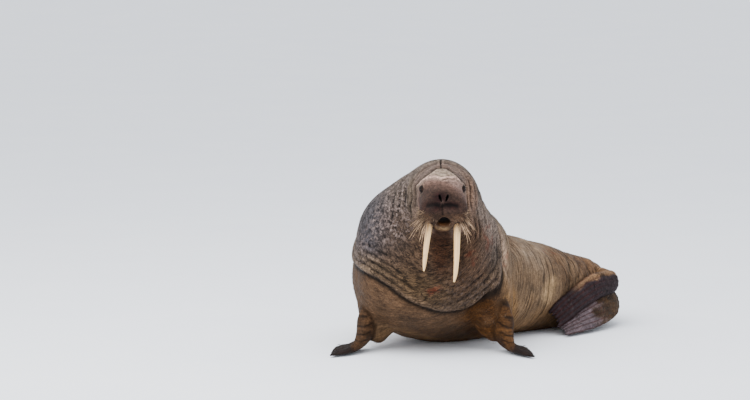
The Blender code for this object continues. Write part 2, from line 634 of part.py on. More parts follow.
def build():
    """Make every node."""
    clear_scene()
    scene = bpy.context.scene
    parts = bpy.data.collections.new("walrus")
    cutters = bpy.data.collections.new("cutters")
    scene.collection.children.link(parts)
    scene.collection.children.link(cutters)

    c1, c2, c3, c4 = CUTS
    head = body_node("head", np.linspace(0.0, c1, 8), AROUND["head"], parts, front=FRONT_RINGS)
    neck_stations = np.concatenate([np.linspace(c1, 1.9, 5, endpoint=False), np.linspace(1.9, c2, 16)])
    chest_stations = np.concatenate([np.linspace(c2, 4.1, 6, endpoint=False), np.linspace(4.1, c3, 7)])
    neck = body_node("neck", neck_stations, AROUND["neck"], parts)
    chest = body_node("chest", chest_stations, AROUND["chest"], parts)
    hind_stations = np.linspace(c4, len(STATIONS) - 1.0, 8)
    torso = body_node("torso", np.linspace(c3, c4, 9), AROUND["torso"], parts)
    hind = body_node("hindquarters", hind_stations, AROUND["hindquarters"], parts, back=BACK_RINGS)

    # muzzle and lower jaw are parted from the head by the line of the mouth
    def top(f, r):
        return 0.30

    def bottom(f, r):
        return -0.60

    def jaw_top(f, r):
        return mouth_height(r) - mouth_opening(f, r)

    def lip_under(f, r):
        return mouth_height(r)

    def jaw_over(f, r):
        return jaw_top(f, r) + GAP

    muzzle_block = lip_block("muzzle_block", MUZZLE_FROM, 0.40, top, lip_under, cutters)
    jaw_block = lip_block("jaw_block", JAW_FROM, 0.40, jaw_top, bottom, cutters)
    front_block = lip_block("front_block", MUZZLE_FROM - GAP, 0.41, top, bottom, cutters)
    under_block = lip_block("under_block", JAW_FROM - GAP, 0.41, jaw_over, bottom, cutters)
    muzzle = head.copy()
    muzzle.data = head.data.copy()
    muzzle.name = "muzzle"
    parts.objects.link(muzzle)
    jaw = head.copy()
    jaw.data = head.data.copy()
    jaw.name = "lower_jaw"
    parts.objects.link(jaw)
    boolean(muzzle, muzzle_block, "INTERSECT")
    boolean(jaw, jaw_block, "INTERSECT")
    boolean(head, front_block, "DIFFERENCE")
    boolean(head, under_block, "DIFFERENCE")

    # tusks
    tusks = []
    for label, sign in (("left", 1), ("right", -1)):
        path = tusk_path(label, 13)
        share = np.linspace(0, 1, 13)
        size = TUSK_RADIUS * (1.0 if sign > 0 else 0.92)
        radii = size * (1.0 - 0.10 * share - 0.62 * share ** 3.2)
        tusk = tube("tusk_" + label, path, radii, 14, parts, flat=0.86)
        tusks.append(tusk)
        wide = grown(tusk, cutters)
        for item in (muzzle, jaw):
            boolean(item, wide, "DIFFERENCE")
        drop(wide)

    # nostrils: two curved slits, open to the front
    for sign in (-1, 1):
        path = [head_point((sign * 0.029, 0.215, -0.004)), head_point((sign * 0.027, 0.215, -0.016)),
                head_point((sign * 0.022, 0.215, -0.030)), head_point((sign * 0.016, 0.212, -0.044))]
        slit = tube("nostril", path, [0.005, 0.0075, 0.0075, 0.005], 8, cutters, flat=1.0)
        forward = head_axes()[1]
        for v in slit.data.vertices:
            depth = (np.array(v.co) - np.array(path[1])) @ forward
            if depth < 0:
                v.co -= Vector(forward * 0.045)
            else:
                v.co += Vector(forward * 0.020)
        boolean(muzzle, slit, "DIFFERENCE")

    # eyes, with lids above and below
    eyes = []
    lids = bpy.data.collections.new("lids")
    scene.collection.children.link(lids)
    for label, sign in (("left", 1), ("right", -1)):
        at = head_point((sign * EYE_AT[0], EYE_AT[1], EYE_AT[2]))
        look = unit(np.array((sign * EYE_LOOK[0], EYE_LOOK[1], EYE_LOOK[2])) @ head_axes())
        up = unit(np.array((0.0, 0.0, 1.0)) - look * look[2])
        across = np.cross(up, look)
        for start, stop in ((-0.08, 1.08), (1.00, 2.00)):
            angle = np.linspace(start, stop, 9) * math.pi
            bulge = np.sin(np.linspace(0, 1, 9) * math.pi)
            path = [at + look * (0.0065 + 0.004 * b) + (EYE_RADIUS * 0.93) * (
                math.cos(q) * across * 1.05 + math.sin(q) * up * 0.80) for q, b in zip(angle, bulge)]
            radii = LID_RADIUS * (0.45 + 0.55 * bulge)
            tube("lid", path, radii, 8, lids, axis=tuple(look))
        eyes.append((label, at))
    boolean(head, lids, "UNION", "MANIFOLD")
    for item in list(lids.objects):
        drop(item)
    bpy.data.collections.remove(lids)
    for label, at in eyes:
        ball("eye_" + label, at, EYE_RADIUS, parts)
        hollow = ball("socket", at, EYE_RADIUS + GAP, cutters)
        boolean(head, hollow, "DIFFERENCE", "MANIFOLD")

    # ear openings: small pits behind the eyes, no outer ear
    for sign in (-1, 1):
        spot = body_points(np.array(0.30), np.array(math.pi / 2), np.array(sign * 0.50 * math.pi))
        pit = ball("ear", spot, 0.009, cutters, 6, 10)
        boolean(head, pit, "DIFFERENCE", "MANIFOLD")

    # whiskers
    for side in (1, -1):
        bush = bpy.data.collections.new("bristles")
        scene.collection.children.link(bush)
        count = bristles(side, bush)
        print("bristles", side, count)
        boolean(muzzle, bush, "UNION", "MANIFOLD")
        for item in list(bush.objects):
            drop(item)
        bpy.data.collections.remove(bush)
    print("muzzle pieces", keep_largest(muzzle))
    print("head pieces", keep_largest(head), "jaw pieces", keep_largest(jaw))

    # flippers and tail, each trimmed to the face it grows from
    chest_grown = grown(chest, cutters)
    neck_grown = grown(neck, cutters)
    torso_grown = grown(torso, cutters)
    hind_grown = grown(hind, cutters)
    fore = {}
    for label, rows, sign in (("left", FORE_LEFT, 1), ("right", FORE_RIGHT, -1)):
        item = flipper("fore_flipper_" + label, rows, sign, 15, DIGITS, FORE_SHAPE, parts)
        boolean(item, chest_grown, "DIFFERENCE", "MANIFOLD")
        boolean(item, neck_grown, "DIFFERENCE", "MANIFOLD")
        keep_largest(item)
        fore[label] = item
    upper = flipper("hind_flipper_left", HIND_LEFT, 1, 14, DIGITS, HIND_SHAPE, parts)
    for block in (hind_grown, torso_grown):
        boolean(upper, block, "DIFFERENCE", "MANIFOLD")
    keep_largest(upper)
    upper_grown = grown(upper, cutters)
    lower = flipper("hind_flipper_right", HIND_RIGHT, 1, 14, DIGITS, HIND_SHAPE, parts)
    for block in (hind_grown, torso_grown, upper_grown):
        boolean(lower, block, "DIFFERENCE", "MANIFOLD")
    keep_largest(lower)
    tail = flipper("tail", TAIL, 1, 7, 1, TAIL_SHAPE, parts)
    for block in (hind_grown, upper_grown, grown(lower, cutters)):
        boolean(tail, block, "DIFFERENCE", "MANIFOLD")
    keep_largest(tail)

    # colours
    use = {"head": "skin_neck", "neck": "skin_neck", "muzzle": "skin_muzzle", "lower_jaw": "skin_muzzle",
           "chest": "skin_body", "torso": "skin_body", "hindquarters": "skin_body", "tail": "skin_body",
           "tusk_left": "ivory", "tusk_right": "ivory", "eye_left": "eye", "eye_right": "eye"}
    made = {name: material(name) for name in COLOURS}
    for item in parts.objects:
        item.data.materials.clear()
        item.data.materials.append(made[use.get(item.name, "skin_flipper")])

    # the whole stands over the origin, on the floor
    points = np.vstack([[v.co[:] for v in item.data.vertices] for item in parts.objects])
    low = points.min(0)
    high = points.max(0)
    shift = Vector((-(low[0] + high[0]) / 2, -(low[1] + high[1]) / 2, -low[2]))
    for item in parts.objects:
        for v in item.data.vertices:
            v.co += shift
    print("shift", tuple(round(s, 4) for s in shift), "size", np.round(high - low, 4))
    total = 0
    for item in parts.objects:
        count = sum(len(p.vertices) - 2 for p in item.data.polygons)
        total += count
        print(item.name, count)
    print("triangles", total)
    for item in cutters.objects:
        item.hide_render = True
        item.display_type = "WIRE"


build()
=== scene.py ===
# %% [markdown]
# # A walrus at rest, life size
# The animal lies on its belly with the chest raised on its fore flippers, the head towards the viewer
# and the hind flippers folded beside the rump. Everything soft is one skin: rings drawn along the body
# give its volume, fold and wrinkle formulas carve it, and eyes, tusks, claws and bristles are set in it.

# %%
import math
import bpy
import numpy as np
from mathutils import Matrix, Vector


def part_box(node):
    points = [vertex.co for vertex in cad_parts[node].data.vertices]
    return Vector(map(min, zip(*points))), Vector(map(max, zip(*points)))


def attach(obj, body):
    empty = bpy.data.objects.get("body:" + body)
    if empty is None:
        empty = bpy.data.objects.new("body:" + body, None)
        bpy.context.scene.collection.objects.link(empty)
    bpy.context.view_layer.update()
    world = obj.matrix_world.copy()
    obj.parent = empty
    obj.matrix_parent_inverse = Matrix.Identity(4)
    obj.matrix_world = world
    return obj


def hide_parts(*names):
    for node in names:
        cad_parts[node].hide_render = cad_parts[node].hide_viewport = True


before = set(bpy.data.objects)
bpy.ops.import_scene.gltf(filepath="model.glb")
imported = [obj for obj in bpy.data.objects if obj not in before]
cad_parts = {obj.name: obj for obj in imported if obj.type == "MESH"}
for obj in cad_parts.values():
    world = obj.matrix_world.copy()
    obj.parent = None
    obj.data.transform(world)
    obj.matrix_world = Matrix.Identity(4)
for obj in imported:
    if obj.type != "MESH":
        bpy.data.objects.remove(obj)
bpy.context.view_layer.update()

# %% [markdown]
# ## The plan of the body
# Each row is a station along the spine: where the ring's centre is, how its plane is turned, how wide
# and tall it is and how square. A smooth curve is read through the rows, so a few numbers steer the
# whole trunk. The head, the cheeks and the upper arms are rounded forms that melt into the rings.

# %%
BLEND = 0.016
FRONT_CAP = 0.10
BACK_CAP = 0.085
STATIONS = {
    "occiput": (0.075, -0.030, 1.011, -3.0, -14.0, 0.0, 0.198, 0.153, 0.235, 2.0),
    "nape": (0.054, 0.060, 0.935, -1.0, -27.0, 0.0, 0.242, 0.271, 0.330, 2.0),
    "neck": (-0.041, 0.160, 0.807, 8.0, -42.0, 0.0, 0.395, 0.297, 0.500, 2.1),
    "throat": (-0.032, 0.270, 0.677, 15.0, -47.0, 0.0, 0.448, 0.350, 0.610, 2.2),
    "shoulder": (0.005, 0.400, 0.529, 22.0, -38.0, 0.0, 0.505, 0.389, 0.540, 2.2),
    "chest": (0.116, 0.620, 0.380, 34.0, -22.0, 0.0, 0.477, 0.337, 0.420, 2.2),
    "trunk": (0.361, 0.830, 0.314, 43.0, -9.0, 0.0, 0.410, 0.328, 0.330, 2.2),
    "waist": (0.606, 1.061, 0.267, 45.0, -5.0, 0.0, 0.345, 0.294, 0.289, 2.2),
    "loin": (0.805, 1.248, 0.213, 46.0, -5.0, 0.0, 0.272, 0.259, 0.243, 2.2),
    "hip": (0.955, 1.389, 0.186, 46.0, -4.0, 0.0, 0.212, 0.230, 0.196, 2.1),
    "rump": (1.035, 1.456, 0.167, 46.0, 0.0, 0.0, 0.168, 0.206, 0.167, 2.0),
}
TABLE = np.array(list(STATIONS.values()))
HEAD_AT = np.array((0.058, -0.165, 1.040))
HEAD_YAW = -3.5
HEAD_PITCH = 2.0
HEAD_FORMS = {
    "cranium": ((0.0, -0.06, 0.000), (0.137, 0.180, 0.106)),
    "brow": ((0.0, 0.03, 0.005), (0.108, 0.105, 0.066)),
    "snout": ((0.0, 0.085, -0.060), (0.122, 0.095, 0.100)),
    "cheek_left": ((0.080, -0.02, -0.09), (0.068, 0.120, 0.110)),
    "cheek_right": ((-0.080, -0.02, -0.09), (0.068, 0.120, 0.110)),
    "pad_left": ((0.069, 0.128, -0.125), (0.078, 0.076, 0.092)),
    "pad_right": ((-0.069, 0.128, -0.125), (0.078, 0.076, 0.092)),
    "nose": ((0.0, 0.145, -0.020), (0.078, 0.055, 0.058)),
    "jaw": ((0.0, 0.030, -0.205), (0.085, 0.125, 0.055)),
}
BODY_FORMS = {
    "arm_left": ((0.385, 0.180, 0.290), (0.125, 0.170, 0.270), 10.0, -15.0),
    "arm_right": ((-0.330, 0.210, 0.290), (0.125, 0.170, 0.270), 10.0, -15.0),
}
EYE_AT = (0.1225, 0.043, 0.004)
EYE_LOOK = (0.86, 0.50, 0.06)
EYE_RADIUS = 0.017


def unit(v):
    """Vectors divided by their own length."""
    v = np.asarray(v, float)
    return v / (np.linalg.norm(v, axis=-1, keepdims=True) + 1e-12)


def smooth_step(x):
    """Three x squared minus two x cubed, held between nought and one."""
    x = np.clip(x, 0.0, 1.0)
    return x * x * (3.0 - 2.0 * x)


def hill(x, width):
    """A bell curve: e to the minus (x over width) squared."""
    return np.exp(-(x / width) ** 2)


def ring_axes(yaw, pitch):
    """Tailward, upward and leftward unit vectors of a ring turned by yaw and pitch in degrees."""
    a = np.radians(yaw)
    b = np.radians(pitch)
    tailward = np.stack([np.sin(a) * np.cos(b), np.cos(a) * np.cos(b), np.sin(b)], -1)
    upward = np.stack([-np.sin(a) * np.sin(b), -np.cos(a) * np.sin(b), np.cos(b)], -1)
    leftward = np.stack([np.cos(a), -np.sin(a), 0.0 * a], -1)
    return tailward, upward, leftward


def spline(table, t):
    """Cubic through four neighbouring rows, whose slope at a row is half the step across it."""
    count = len(table)
    i = np.clip(np.floor(t).astype(int), 0, count - 2)
    u = (t - i)[..., None]
    ends = np.vstack([2 * table[0] - table[1], table, 2 * table[-1] - table[-2]])
    a = ends[i]
    b = ends[i + 1]
    c = ends[i + 2]
    d = ends[i + 3]
    return 0.5 * (2 * b + (c - a) * u + (2 * a - 5 * b + 4 * c - d) * u**2
                  + (3 * b - a - 3 * c + d) * u**3)


def head_axes():
    """Right, forward and up of the head, as rows; right is the viewer's right."""
    tailward, upward, leftward = ring_axes(np.array(HEAD_YAW), np.array(HEAD_PITCH))
    return np.stack([leftward, -tailward, upward])


def head_point(local):
    """Place of a point that is given in the head's own axes."""
    return HEAD_AT + np.asarray(local, float) @ head_axes()


def head_local(points):
    """The head's own coordinates of points."""
    return (np.asarray(points) - HEAD_AT) @ head_axes().T


def all_forms():
    """Every rounded form as centre, radii and axes."""
    axes = head_axes()
    forms = [(head_point(c), np.array(r), axes) for c, r in HEAD_FORMS.values()]
    for centre, radii, yaw, pitch in BODY_FORMS.values():
        tailward, upward, leftward = ring_axes(np.array(yaw), np.array(pitch))
        forms.append((np.array(centre), np.array(radii), np.stack([leftward, -tailward, upward])))
    return forms


FORMS = all_forms()
EYE_LEFT = head_point(EYE_AT)
low, high = (np.array(v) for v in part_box("eye_left"))
SHIFT = (low + high) / 2 - EYE_LEFT
print("from the plan to the frame, metres:", np.round(SHIFT, 4))

# %% [markdown]
# ## Finding the surface along rays
# Every ring sends out rays from its centre. Along a ray the body ends where the ring's own rounded
# square ends or where a form ends, whichever is further out, and near equal distances the two are
# blended. Halving the interval and then a few secant steps find that point for all rays at once.
# In front of the first ring and behind the last the rays fan out like a globe's meridians.

# %%
def form_distance(p, centre, radii, axes):
    """k (k - 1) / m, where k is the scaled distance from the centre and m its slope."""
    q = (p - centre) @ axes.T
    near = np.sqrt(((q / radii) ** 2).sum(-1)) + 1e-9
    slope = np.sqrt(((q / np.square(radii)) ** 2).sum(-1)) + 1e-9
    return near * (near - 1.0) / slope


def blended(origin, way, r, base, forms):
    """Minus the logarithm of the summed exponentials of minus distance over BLEND."""
    p = origin + way * r[..., None]
    total = np.exp(-np.clip((r - base) / BLEND, -60, 60))
    for centre, radii, axes in forms:
        total = total + np.exp(-np.clip(form_distance(p, centre, radii, axes) / BLEND, -60, 60))
    return -np.log(total)


def body_points(t, phi, theta):
    """Surface points at station t, angle phi from the forward pole and angle theta from the top."""
    row = spline(TABLE, t)
    tailward, upward, leftward = ring_axes(row[..., 3], row[..., 4])
    ct = np.cos(theta)
    st = np.sin(theta)
    ring = ct[..., None] * upward + st[..., None] * leftward
    way = np.sin(phi)[..., None] * ring - np.cos(phi)[..., None] * tailward
    height = np.where(ct > 0, row[..., 7], row[..., 8])
    m = row[..., 9]
    base = (np.abs(st / row[..., 6]) ** m + np.abs(ct / height) ** m) ** (-1 / m)
    cap = np.where(np.cos(phi) > 0, FRONT_CAP, BACK_CAP)
    base = 1 / np.sqrt((np.cos(phi) / cap) ** 2 + (np.sin(phi) / base) ** 2)
    origin = row[..., :3]
    radius = base.copy()
    near = t < 6.5
    if np.any(near):
        o, w, b = origin[near], way[near], base[near]
        low = np.zeros(b.shape)
        high = np.full(b.shape, 1.1)
        for _ in range(9):
            mid = (low + high) / 2
            out = blended(o, w, mid, b, FORMS) > 0
            high = np.where(out, mid, high)
            low = np.where(out, low, mid)
        f_low = blended(o, w, low, b, FORMS)
        f_high = blended(o, w, high, b, FORMS)
        for _ in range(5):
            cut = low - f_low * (high - low) / np.where(f_high - f_low == 0, 1.0, f_high - f_low)
            f_cut = blended(o, w, cut, b, FORMS)
            out = f_cut > 0
            high = np.where(out, cut, high)
            f_high = np.where(out, f_cut, f_high * 0.5)
            low = np.where(out, low, cut)
            f_low = np.where(out, f_low * 0.5, f_cut)
        radius[near] = (low * f_high - high * f_low) / np.where(f_high - f_low == 0, 1.0, f_high - f_low)
    radius = np.minimum(radius, origin[..., 2] / np.maximum(-way[..., 2], 1e-6))
    return origin + way * radius[..., None], way, radius


AROUND = 232
FRONT = 80
BACK = 14
t_mid = np.concatenate([np.linspace(0, 1, 24, endpoint=False), np.linspace(1, 3.7, 92, endpoint=False),
                        np.linspace(3.7, 10, 112)])
t_line = np.concatenate([np.zeros(FRONT - 1), t_mid, np.full(BACK - 1, 10.0)])
phi_line = np.concatenate([np.linspace(0, math.pi / 2, FRONT, endpoint=False)[1:],
                           np.full(len(t_mid), math.pi / 2),
                           np.linspace(math.pi / 2, math.pi, BACK + 1)[1:-1]])
theta_line = np.arange(AROUND) * 2 * math.pi / AROUND
T, THETA = np.meshgrid(t_line, theta_line, indexing="ij")
PHI = np.repeat(phi_line[:, None], AROUND, 1)
BASE, WAY, RADIUS = body_points(T, PHI, THETA)
FRONT_POLE, _, _ = body_points(np.array([0.0]), np.array([0.0]), np.array([0.0]))
BACK_POLE, _, _ = body_points(np.array([10.0]), np.array([math.pi]), np.array([0.0]))
print("skin grid", T.shape, "lowest", BASE.min((0, 1)).round(3), "highest", BASE.max((0, 1)).round(3))

# %% [markdown]
# ## Noise to draw wrinkles with
# Skin isn't regular, so each wrinkle formula is bent by noise: a random number on every corner of a
# lattice, blended smoothly between corners. The lattice is hashed, not stored, so any point can be
# read and each run gives the same skin. The cell noise gives the nearest of one random point per
# cell, and serves for lumps.

# %%
def lattice(i, j, k, seed):
    """A number from nought to one for each lattice corner: multiply, fold the high bits, repeat."""
    n = (i.astype(np.int64) * 374761393 + j.astype(np.int64) * 668265263
         + k.astype(np.int64) * 1440662683 + seed * 1274126177) & 0xFFFFFFFF
    n = ((n ^ (n >> 13)) * 1103515245) & 0xFFFFFFFF
    n = ((n ^ (n >> 15)) * 668265263) & 0xFFFFFFFF
    n = n ^ (n >> 16)
    return (n & 0xFFFFFF) / float(0xFFFFFF)


def noise(p, seed=0):
    """Corner numbers blended by smooth steps along each axis, from minus one to one."""
    cell = np.floor(p)
    f = p - cell
    f = f * f * (3 - 2 * f)
    i, j, k = (cell[..., n] for n in range(3))
    total = 0.0
    for a in (0, 1):
        for b in (0, 1):
            for c in (0, 1):
                weight = (np.where(a, f[..., 0], 1 - f[..., 0]) * np.where(b, f[..., 1], 1 - f[..., 1])
                          * np.where(c, f[..., 2], 1 - f[..., 2]))
                total = total + weight * lattice(i + a, j + b, k + c, seed)
    return total * 2 - 1


def layered(p, octaves=3, seed=0):
    """Noise plus half as much at twice the scale, and so on."""
    total = 0.0
    for n in range(octaves):
        total = total + noise(p * 2.0**n + 13.7 * n, seed + n) / 2.0**n
    return total


def ridged(p, octaves=3, seed=0):
    """One minus the size of noise, so its zero lines become crests."""
    total = 0.0
    for n in range(octaves):
        total = total + (1 - np.abs(noise(p * 2.0**n + 7.3 * n, seed + n)) * 2.0) / 1.8**n
    return total


def cells(p, seed=0):
    """Distance to the nearest random point, one point in each cell, and that point's own number."""
    cell = np.floor(p)
    best = np.full(p.shape[:-1], 9.0)
    mark = np.zeros(p.shape[:-1])
    for a in (-1, 0, 1):
        for b in (-1, 0, 1):
            for c in (-1, 0, 1):
                i = cell[..., 0] + a
                j = cell[..., 1] + b
                k = cell[..., 2] + c
                point = np.stack([i + lattice(i, j, k, seed), j + lattice(i, j, k, seed + 1),
                                  k + lattice(i, j, k, seed + 2)], -1)
                d = np.sqrt(((p - point) ** 2).sum(-1))
                nearer = d < best
                mark = np.where(nearer, lattice(i, j, k, seed + 3), mark)
                best = np.where(nearer, d, best)
    return best, mark


# %% [markdown]
# ## The front elevation
# Folds and patches that the viewer sees are laid out on the front elevation, the way a drawing would
# show them: one unit is 6.2 millimetres at the animal, x to the right and y downward, measured from
# a point level with the eye of a viewer thirty metres away and seven degrees above the floor.

# %%
VIEW_UP = math.radians(7.0)
VIEW_FAR = 30.0
UNIT = 0.0062
VIEW_F = np.array((0.0, math.cos(VIEW_UP), -math.sin(VIEW_UP)))
VIEW_U = np.array((0.0, math.sin(VIEW_UP), math.cos(VIEW_UP)))
VIEW_R = np.array((1.0, 0.0, 0.0))
AIM = -VIEW_R * 57.0 * UNIT + VIEW_U * 152.0 * UNIT
EYE_POINT = AIM - VIEW_F * VIEW_FAR


def elevation(p):
    """Across and down on the front elevation: offset over depth, times distance over unit."""
    q = p - EYE_POINT
    z = q @ VIEW_F
    scale = VIEW_FAR / UNIT
    return np.stack([375.0 + scale * (q @ VIEW_R) / z, 200.0 - scale * (q @ VIEW_U) / z], -1)


def line_distance(e, points):
    """Distance from a broken line, which side of it, and how far along, nought to one."""
    points = np.asarray(points, float)
    best = np.full(e.shape[:-1], 1e9)
    side = np.zeros(e.shape[:-1])
    where = np.zeros(e.shape[:-1])
    lengths = np.linalg.norm(np.diff(points, axis=0), axis=1)
    total = lengths.sum()
    run = 0.0
    for a, b, length in zip(points[:-1], points[1:], lengths):
        d = (b - a) / length
        q = e - a
        h = np.clip(q @ d, 0, length)
        gap = np.linalg.norm(q - h[..., None] * d, axis=-1)
        nearer = gap < best
        side = np.where(nearer, np.sign(q[..., 0] * d[1] - q[..., 1] * d[0]), side)
        where = np.where(nearer, (run + h) / total, where)
        best = np.where(nearer, gap, best)
        run += length
    return best, side, where


def grid_normals(points):
    """Cross product of the steps along and around the grid."""
    along = np.gradient(points, axis=0)
    around = np.roll(points, -1, 1) - np.roll(points, 1, 1)
    return unit(np.cross(around, along))


NORMAL = grid_normals(BASE)
flip = np.sign((NORMAL * WAY).sum(-1).mean())
NORMAL = NORMAL * flip
SEEN = elevation(BASE)
FACING = smooth_step((-(NORMAL @ VIEW_F) + 0.05) / 0.25)
LOCAL = head_local(BASE)
along_step = np.linalg.norm(np.diff(BASE, axis=0), axis=-1).mean(1)
S_LINE = np.concatenate([[0.0], np.cumsum(along_step)])
S = np.repeat(S_LINE[:, None], AROUND, 1)
W = np.where(THETA > math.pi, THETA - 2 * math.pi, THETA)
GIRTH = np.linalg.norm(np.roll(BASE, -1, 1) - BASE, axis=-1).sum(1)
print("length along the skin", round(float(S_LINE[-1]), 2), "m, largest girth", round(float(GIRTH.max()), 2), "m")

# %% [markdown]
# ## The neck's hanging fold
# A bull walrus's neck hangs over the chest like a heavy bib. Its edge isn't one ring: below the right
# cheek it lies far forward, and it runs back as it climbs each side. A few knots give the station of
# that edge for each angle around the body. In front of the edge the hide rolls outward, behind it the
# surface drops into a crease and climbs back slowly.

# %%
FOLD_EDGE = {-180: 2.50, -169: 2.28, -157: 2.18, -141: 2.30, -125: 2.80, -109: 3.30, -80: 3.42, -40: 3.20,
             0: 3.05, 40: 3.00, 67: 3.02, 80: 3.28, 90: 3.50, 104: 3.80, 119: 3.68, 130: 3.66, 143: 3.55,
             157: 3.29, 168: 2.85}


def around_curve(knots):
    """Straight lines between knots given by angle in degrees, then rounded by a moving mean."""
    angle = np.degrees(np.where(theta_line > math.pi, theta_line - 2 * math.pi, theta_line))
    line = np.interp(angle, list(knots.keys()), list(knots.values()), period=360)
    reach = AROUND // 40
    total = np.zeros(line.shape)
    for k in range(-reach, reach + 1):
        total = total + np.roll(line, k)
    return total / (2 * reach + 1)


def crease_profile(x, front, behind):
    """Minus an exponential that dies away quickly in front of the crease and slowly behind it."""
    return -np.where(x > 0, np.exp(-np.maximum(x, 0) / behind), np.exp(np.minimum(x, 0) / front))


bend = 0.07 * noise(np.stack([S * 2.4, np.cos(W) * 3.0, np.sin(W) * 3.0], -1), 5)
EDGE = T + bend - around_curve(FOLD_EDGE)[None, :]
under = smooth_step((-np.cos(W) + 0.30) / 0.6)
rolled = 0.12 + 0.88 * smooth_step((0.30 - np.cos(W)) / 0.5)
relief = np.zeros(T.shape)
relief += rolled * (0.024 * crease_profile(EDGE, 0.05, 0.30) + 0.010 * hill(EDGE + 0.22, 0.17))
for offset, depth in ((-0.42, 0.007), (-0.72, 0.005), (-1.05, 0.004)):
    waver = 0.10 * noise(np.stack([S * 3.0, np.cos(W) * 4.0, np.sin(W) * 4.0], -1), int(9 - offset * 10))
    shifted = EDGE - offset + waver
    relief += under * (depth * crease_profile(shifted, 0.035, 0.07) + 0.5 * depth * hill(shifted + 0.13, 0.10))
print("fold from", round(float(relief.min()) * 1000, 1), "to", round(float(relief.max()) * 1000, 1), "mm")

# %% [markdown]
# ## Rings and lumps
# Behind the neck the hide lies in shallow rings: lines where stretched noise passes through nought are
# pressed in as narrow valleys. The neck of an old male is covered with lumps, which are cell noise.

# %%
def valleys(p, width, seed):
    """Minus a bell around the places where noise is nought."""
    return -hill(noise(p, seed), width)


hood = smooth_step((np.cos(W) + 0.25) / 0.8)
relief += -0.010 * hill(T - 0.40, 0.14) * hood + 0.004 * hill(T - 0.95, 0.30) * hood
trunk = smooth_step((T - 0.8) / 0.6)
rear = smooth_step(EDGE / 0.5)
warp = 0.035 * layered(np.stack([S * 3.1, np.cos(W) * 1.5, np.sin(W) * 1.5], -1), 2, 11)
ring_place = np.stack([S + warp, np.cos(W) * 0.14, np.sin(W) * 0.14], -1)
wide_rings = valleys(ring_place * np.array((15.0, 16.0, 16.0)), 0.16, 21)
fine_rings = valleys(ring_place * np.array((31.0, 34.0, 34.0)), 0.20, 31)
relief += trunk * rear * (0.0034 * (wide_rings + 0.25) + 0.0012 * (fine_rings + 0.3))
relief += 0.006 * trunk * layered(BASE * 5.0, 2, 41)
rolls = noise(np.stack([S * 7.0 + warp * 20, np.cos(W) * 1.3, np.sin(W) * 1.3], -1), 43)
relief += 0.006 * trunk * rear * (rolls - 0.6 * hill(rolls, 0.25))
far, mark = cells(BASE * 58.0 + 0.6 * noise(BASE * 30.0, 3)[..., None], 51)
neck_zone = smooth_step((T - 0.75) / 0.5) * (1 - smooth_step((EDGE + 0.1) / 0.2))
bosses = smooth_step((0.52 - far) / 0.28) * smooth_step((mark - 0.35) / 0.3)
side_zone = hill(np.abs(np.sin(W)) - 1.0, 0.55) * (0.65 - 0.35 * np.sin(W))
lump_zone = neck_zone * np.clip(side_zone * smooth_step((noise(BASE * 3.2, 61) + 0.55) / 0.7), 0, 1)
relief += 0.0042 * (bosses - 0.2) * lump_zone
relief += 0.0024 * neck_zone * valleys(BASE * np.array((24.0, 24.0, 9.0)), 0.16, 63)
print("relief from", round(float(relief.min()) * 1000, 1), "to", round(float(relief.max()) * 1000, 1), "mm")

# %% [markdown]
# ## Folds that the viewer sees
# These lines are drawn on the front elevation and pressed into the skin where it faces the viewer:
# points, half width in units, depth in millimetres, and the height of the lip beside it.

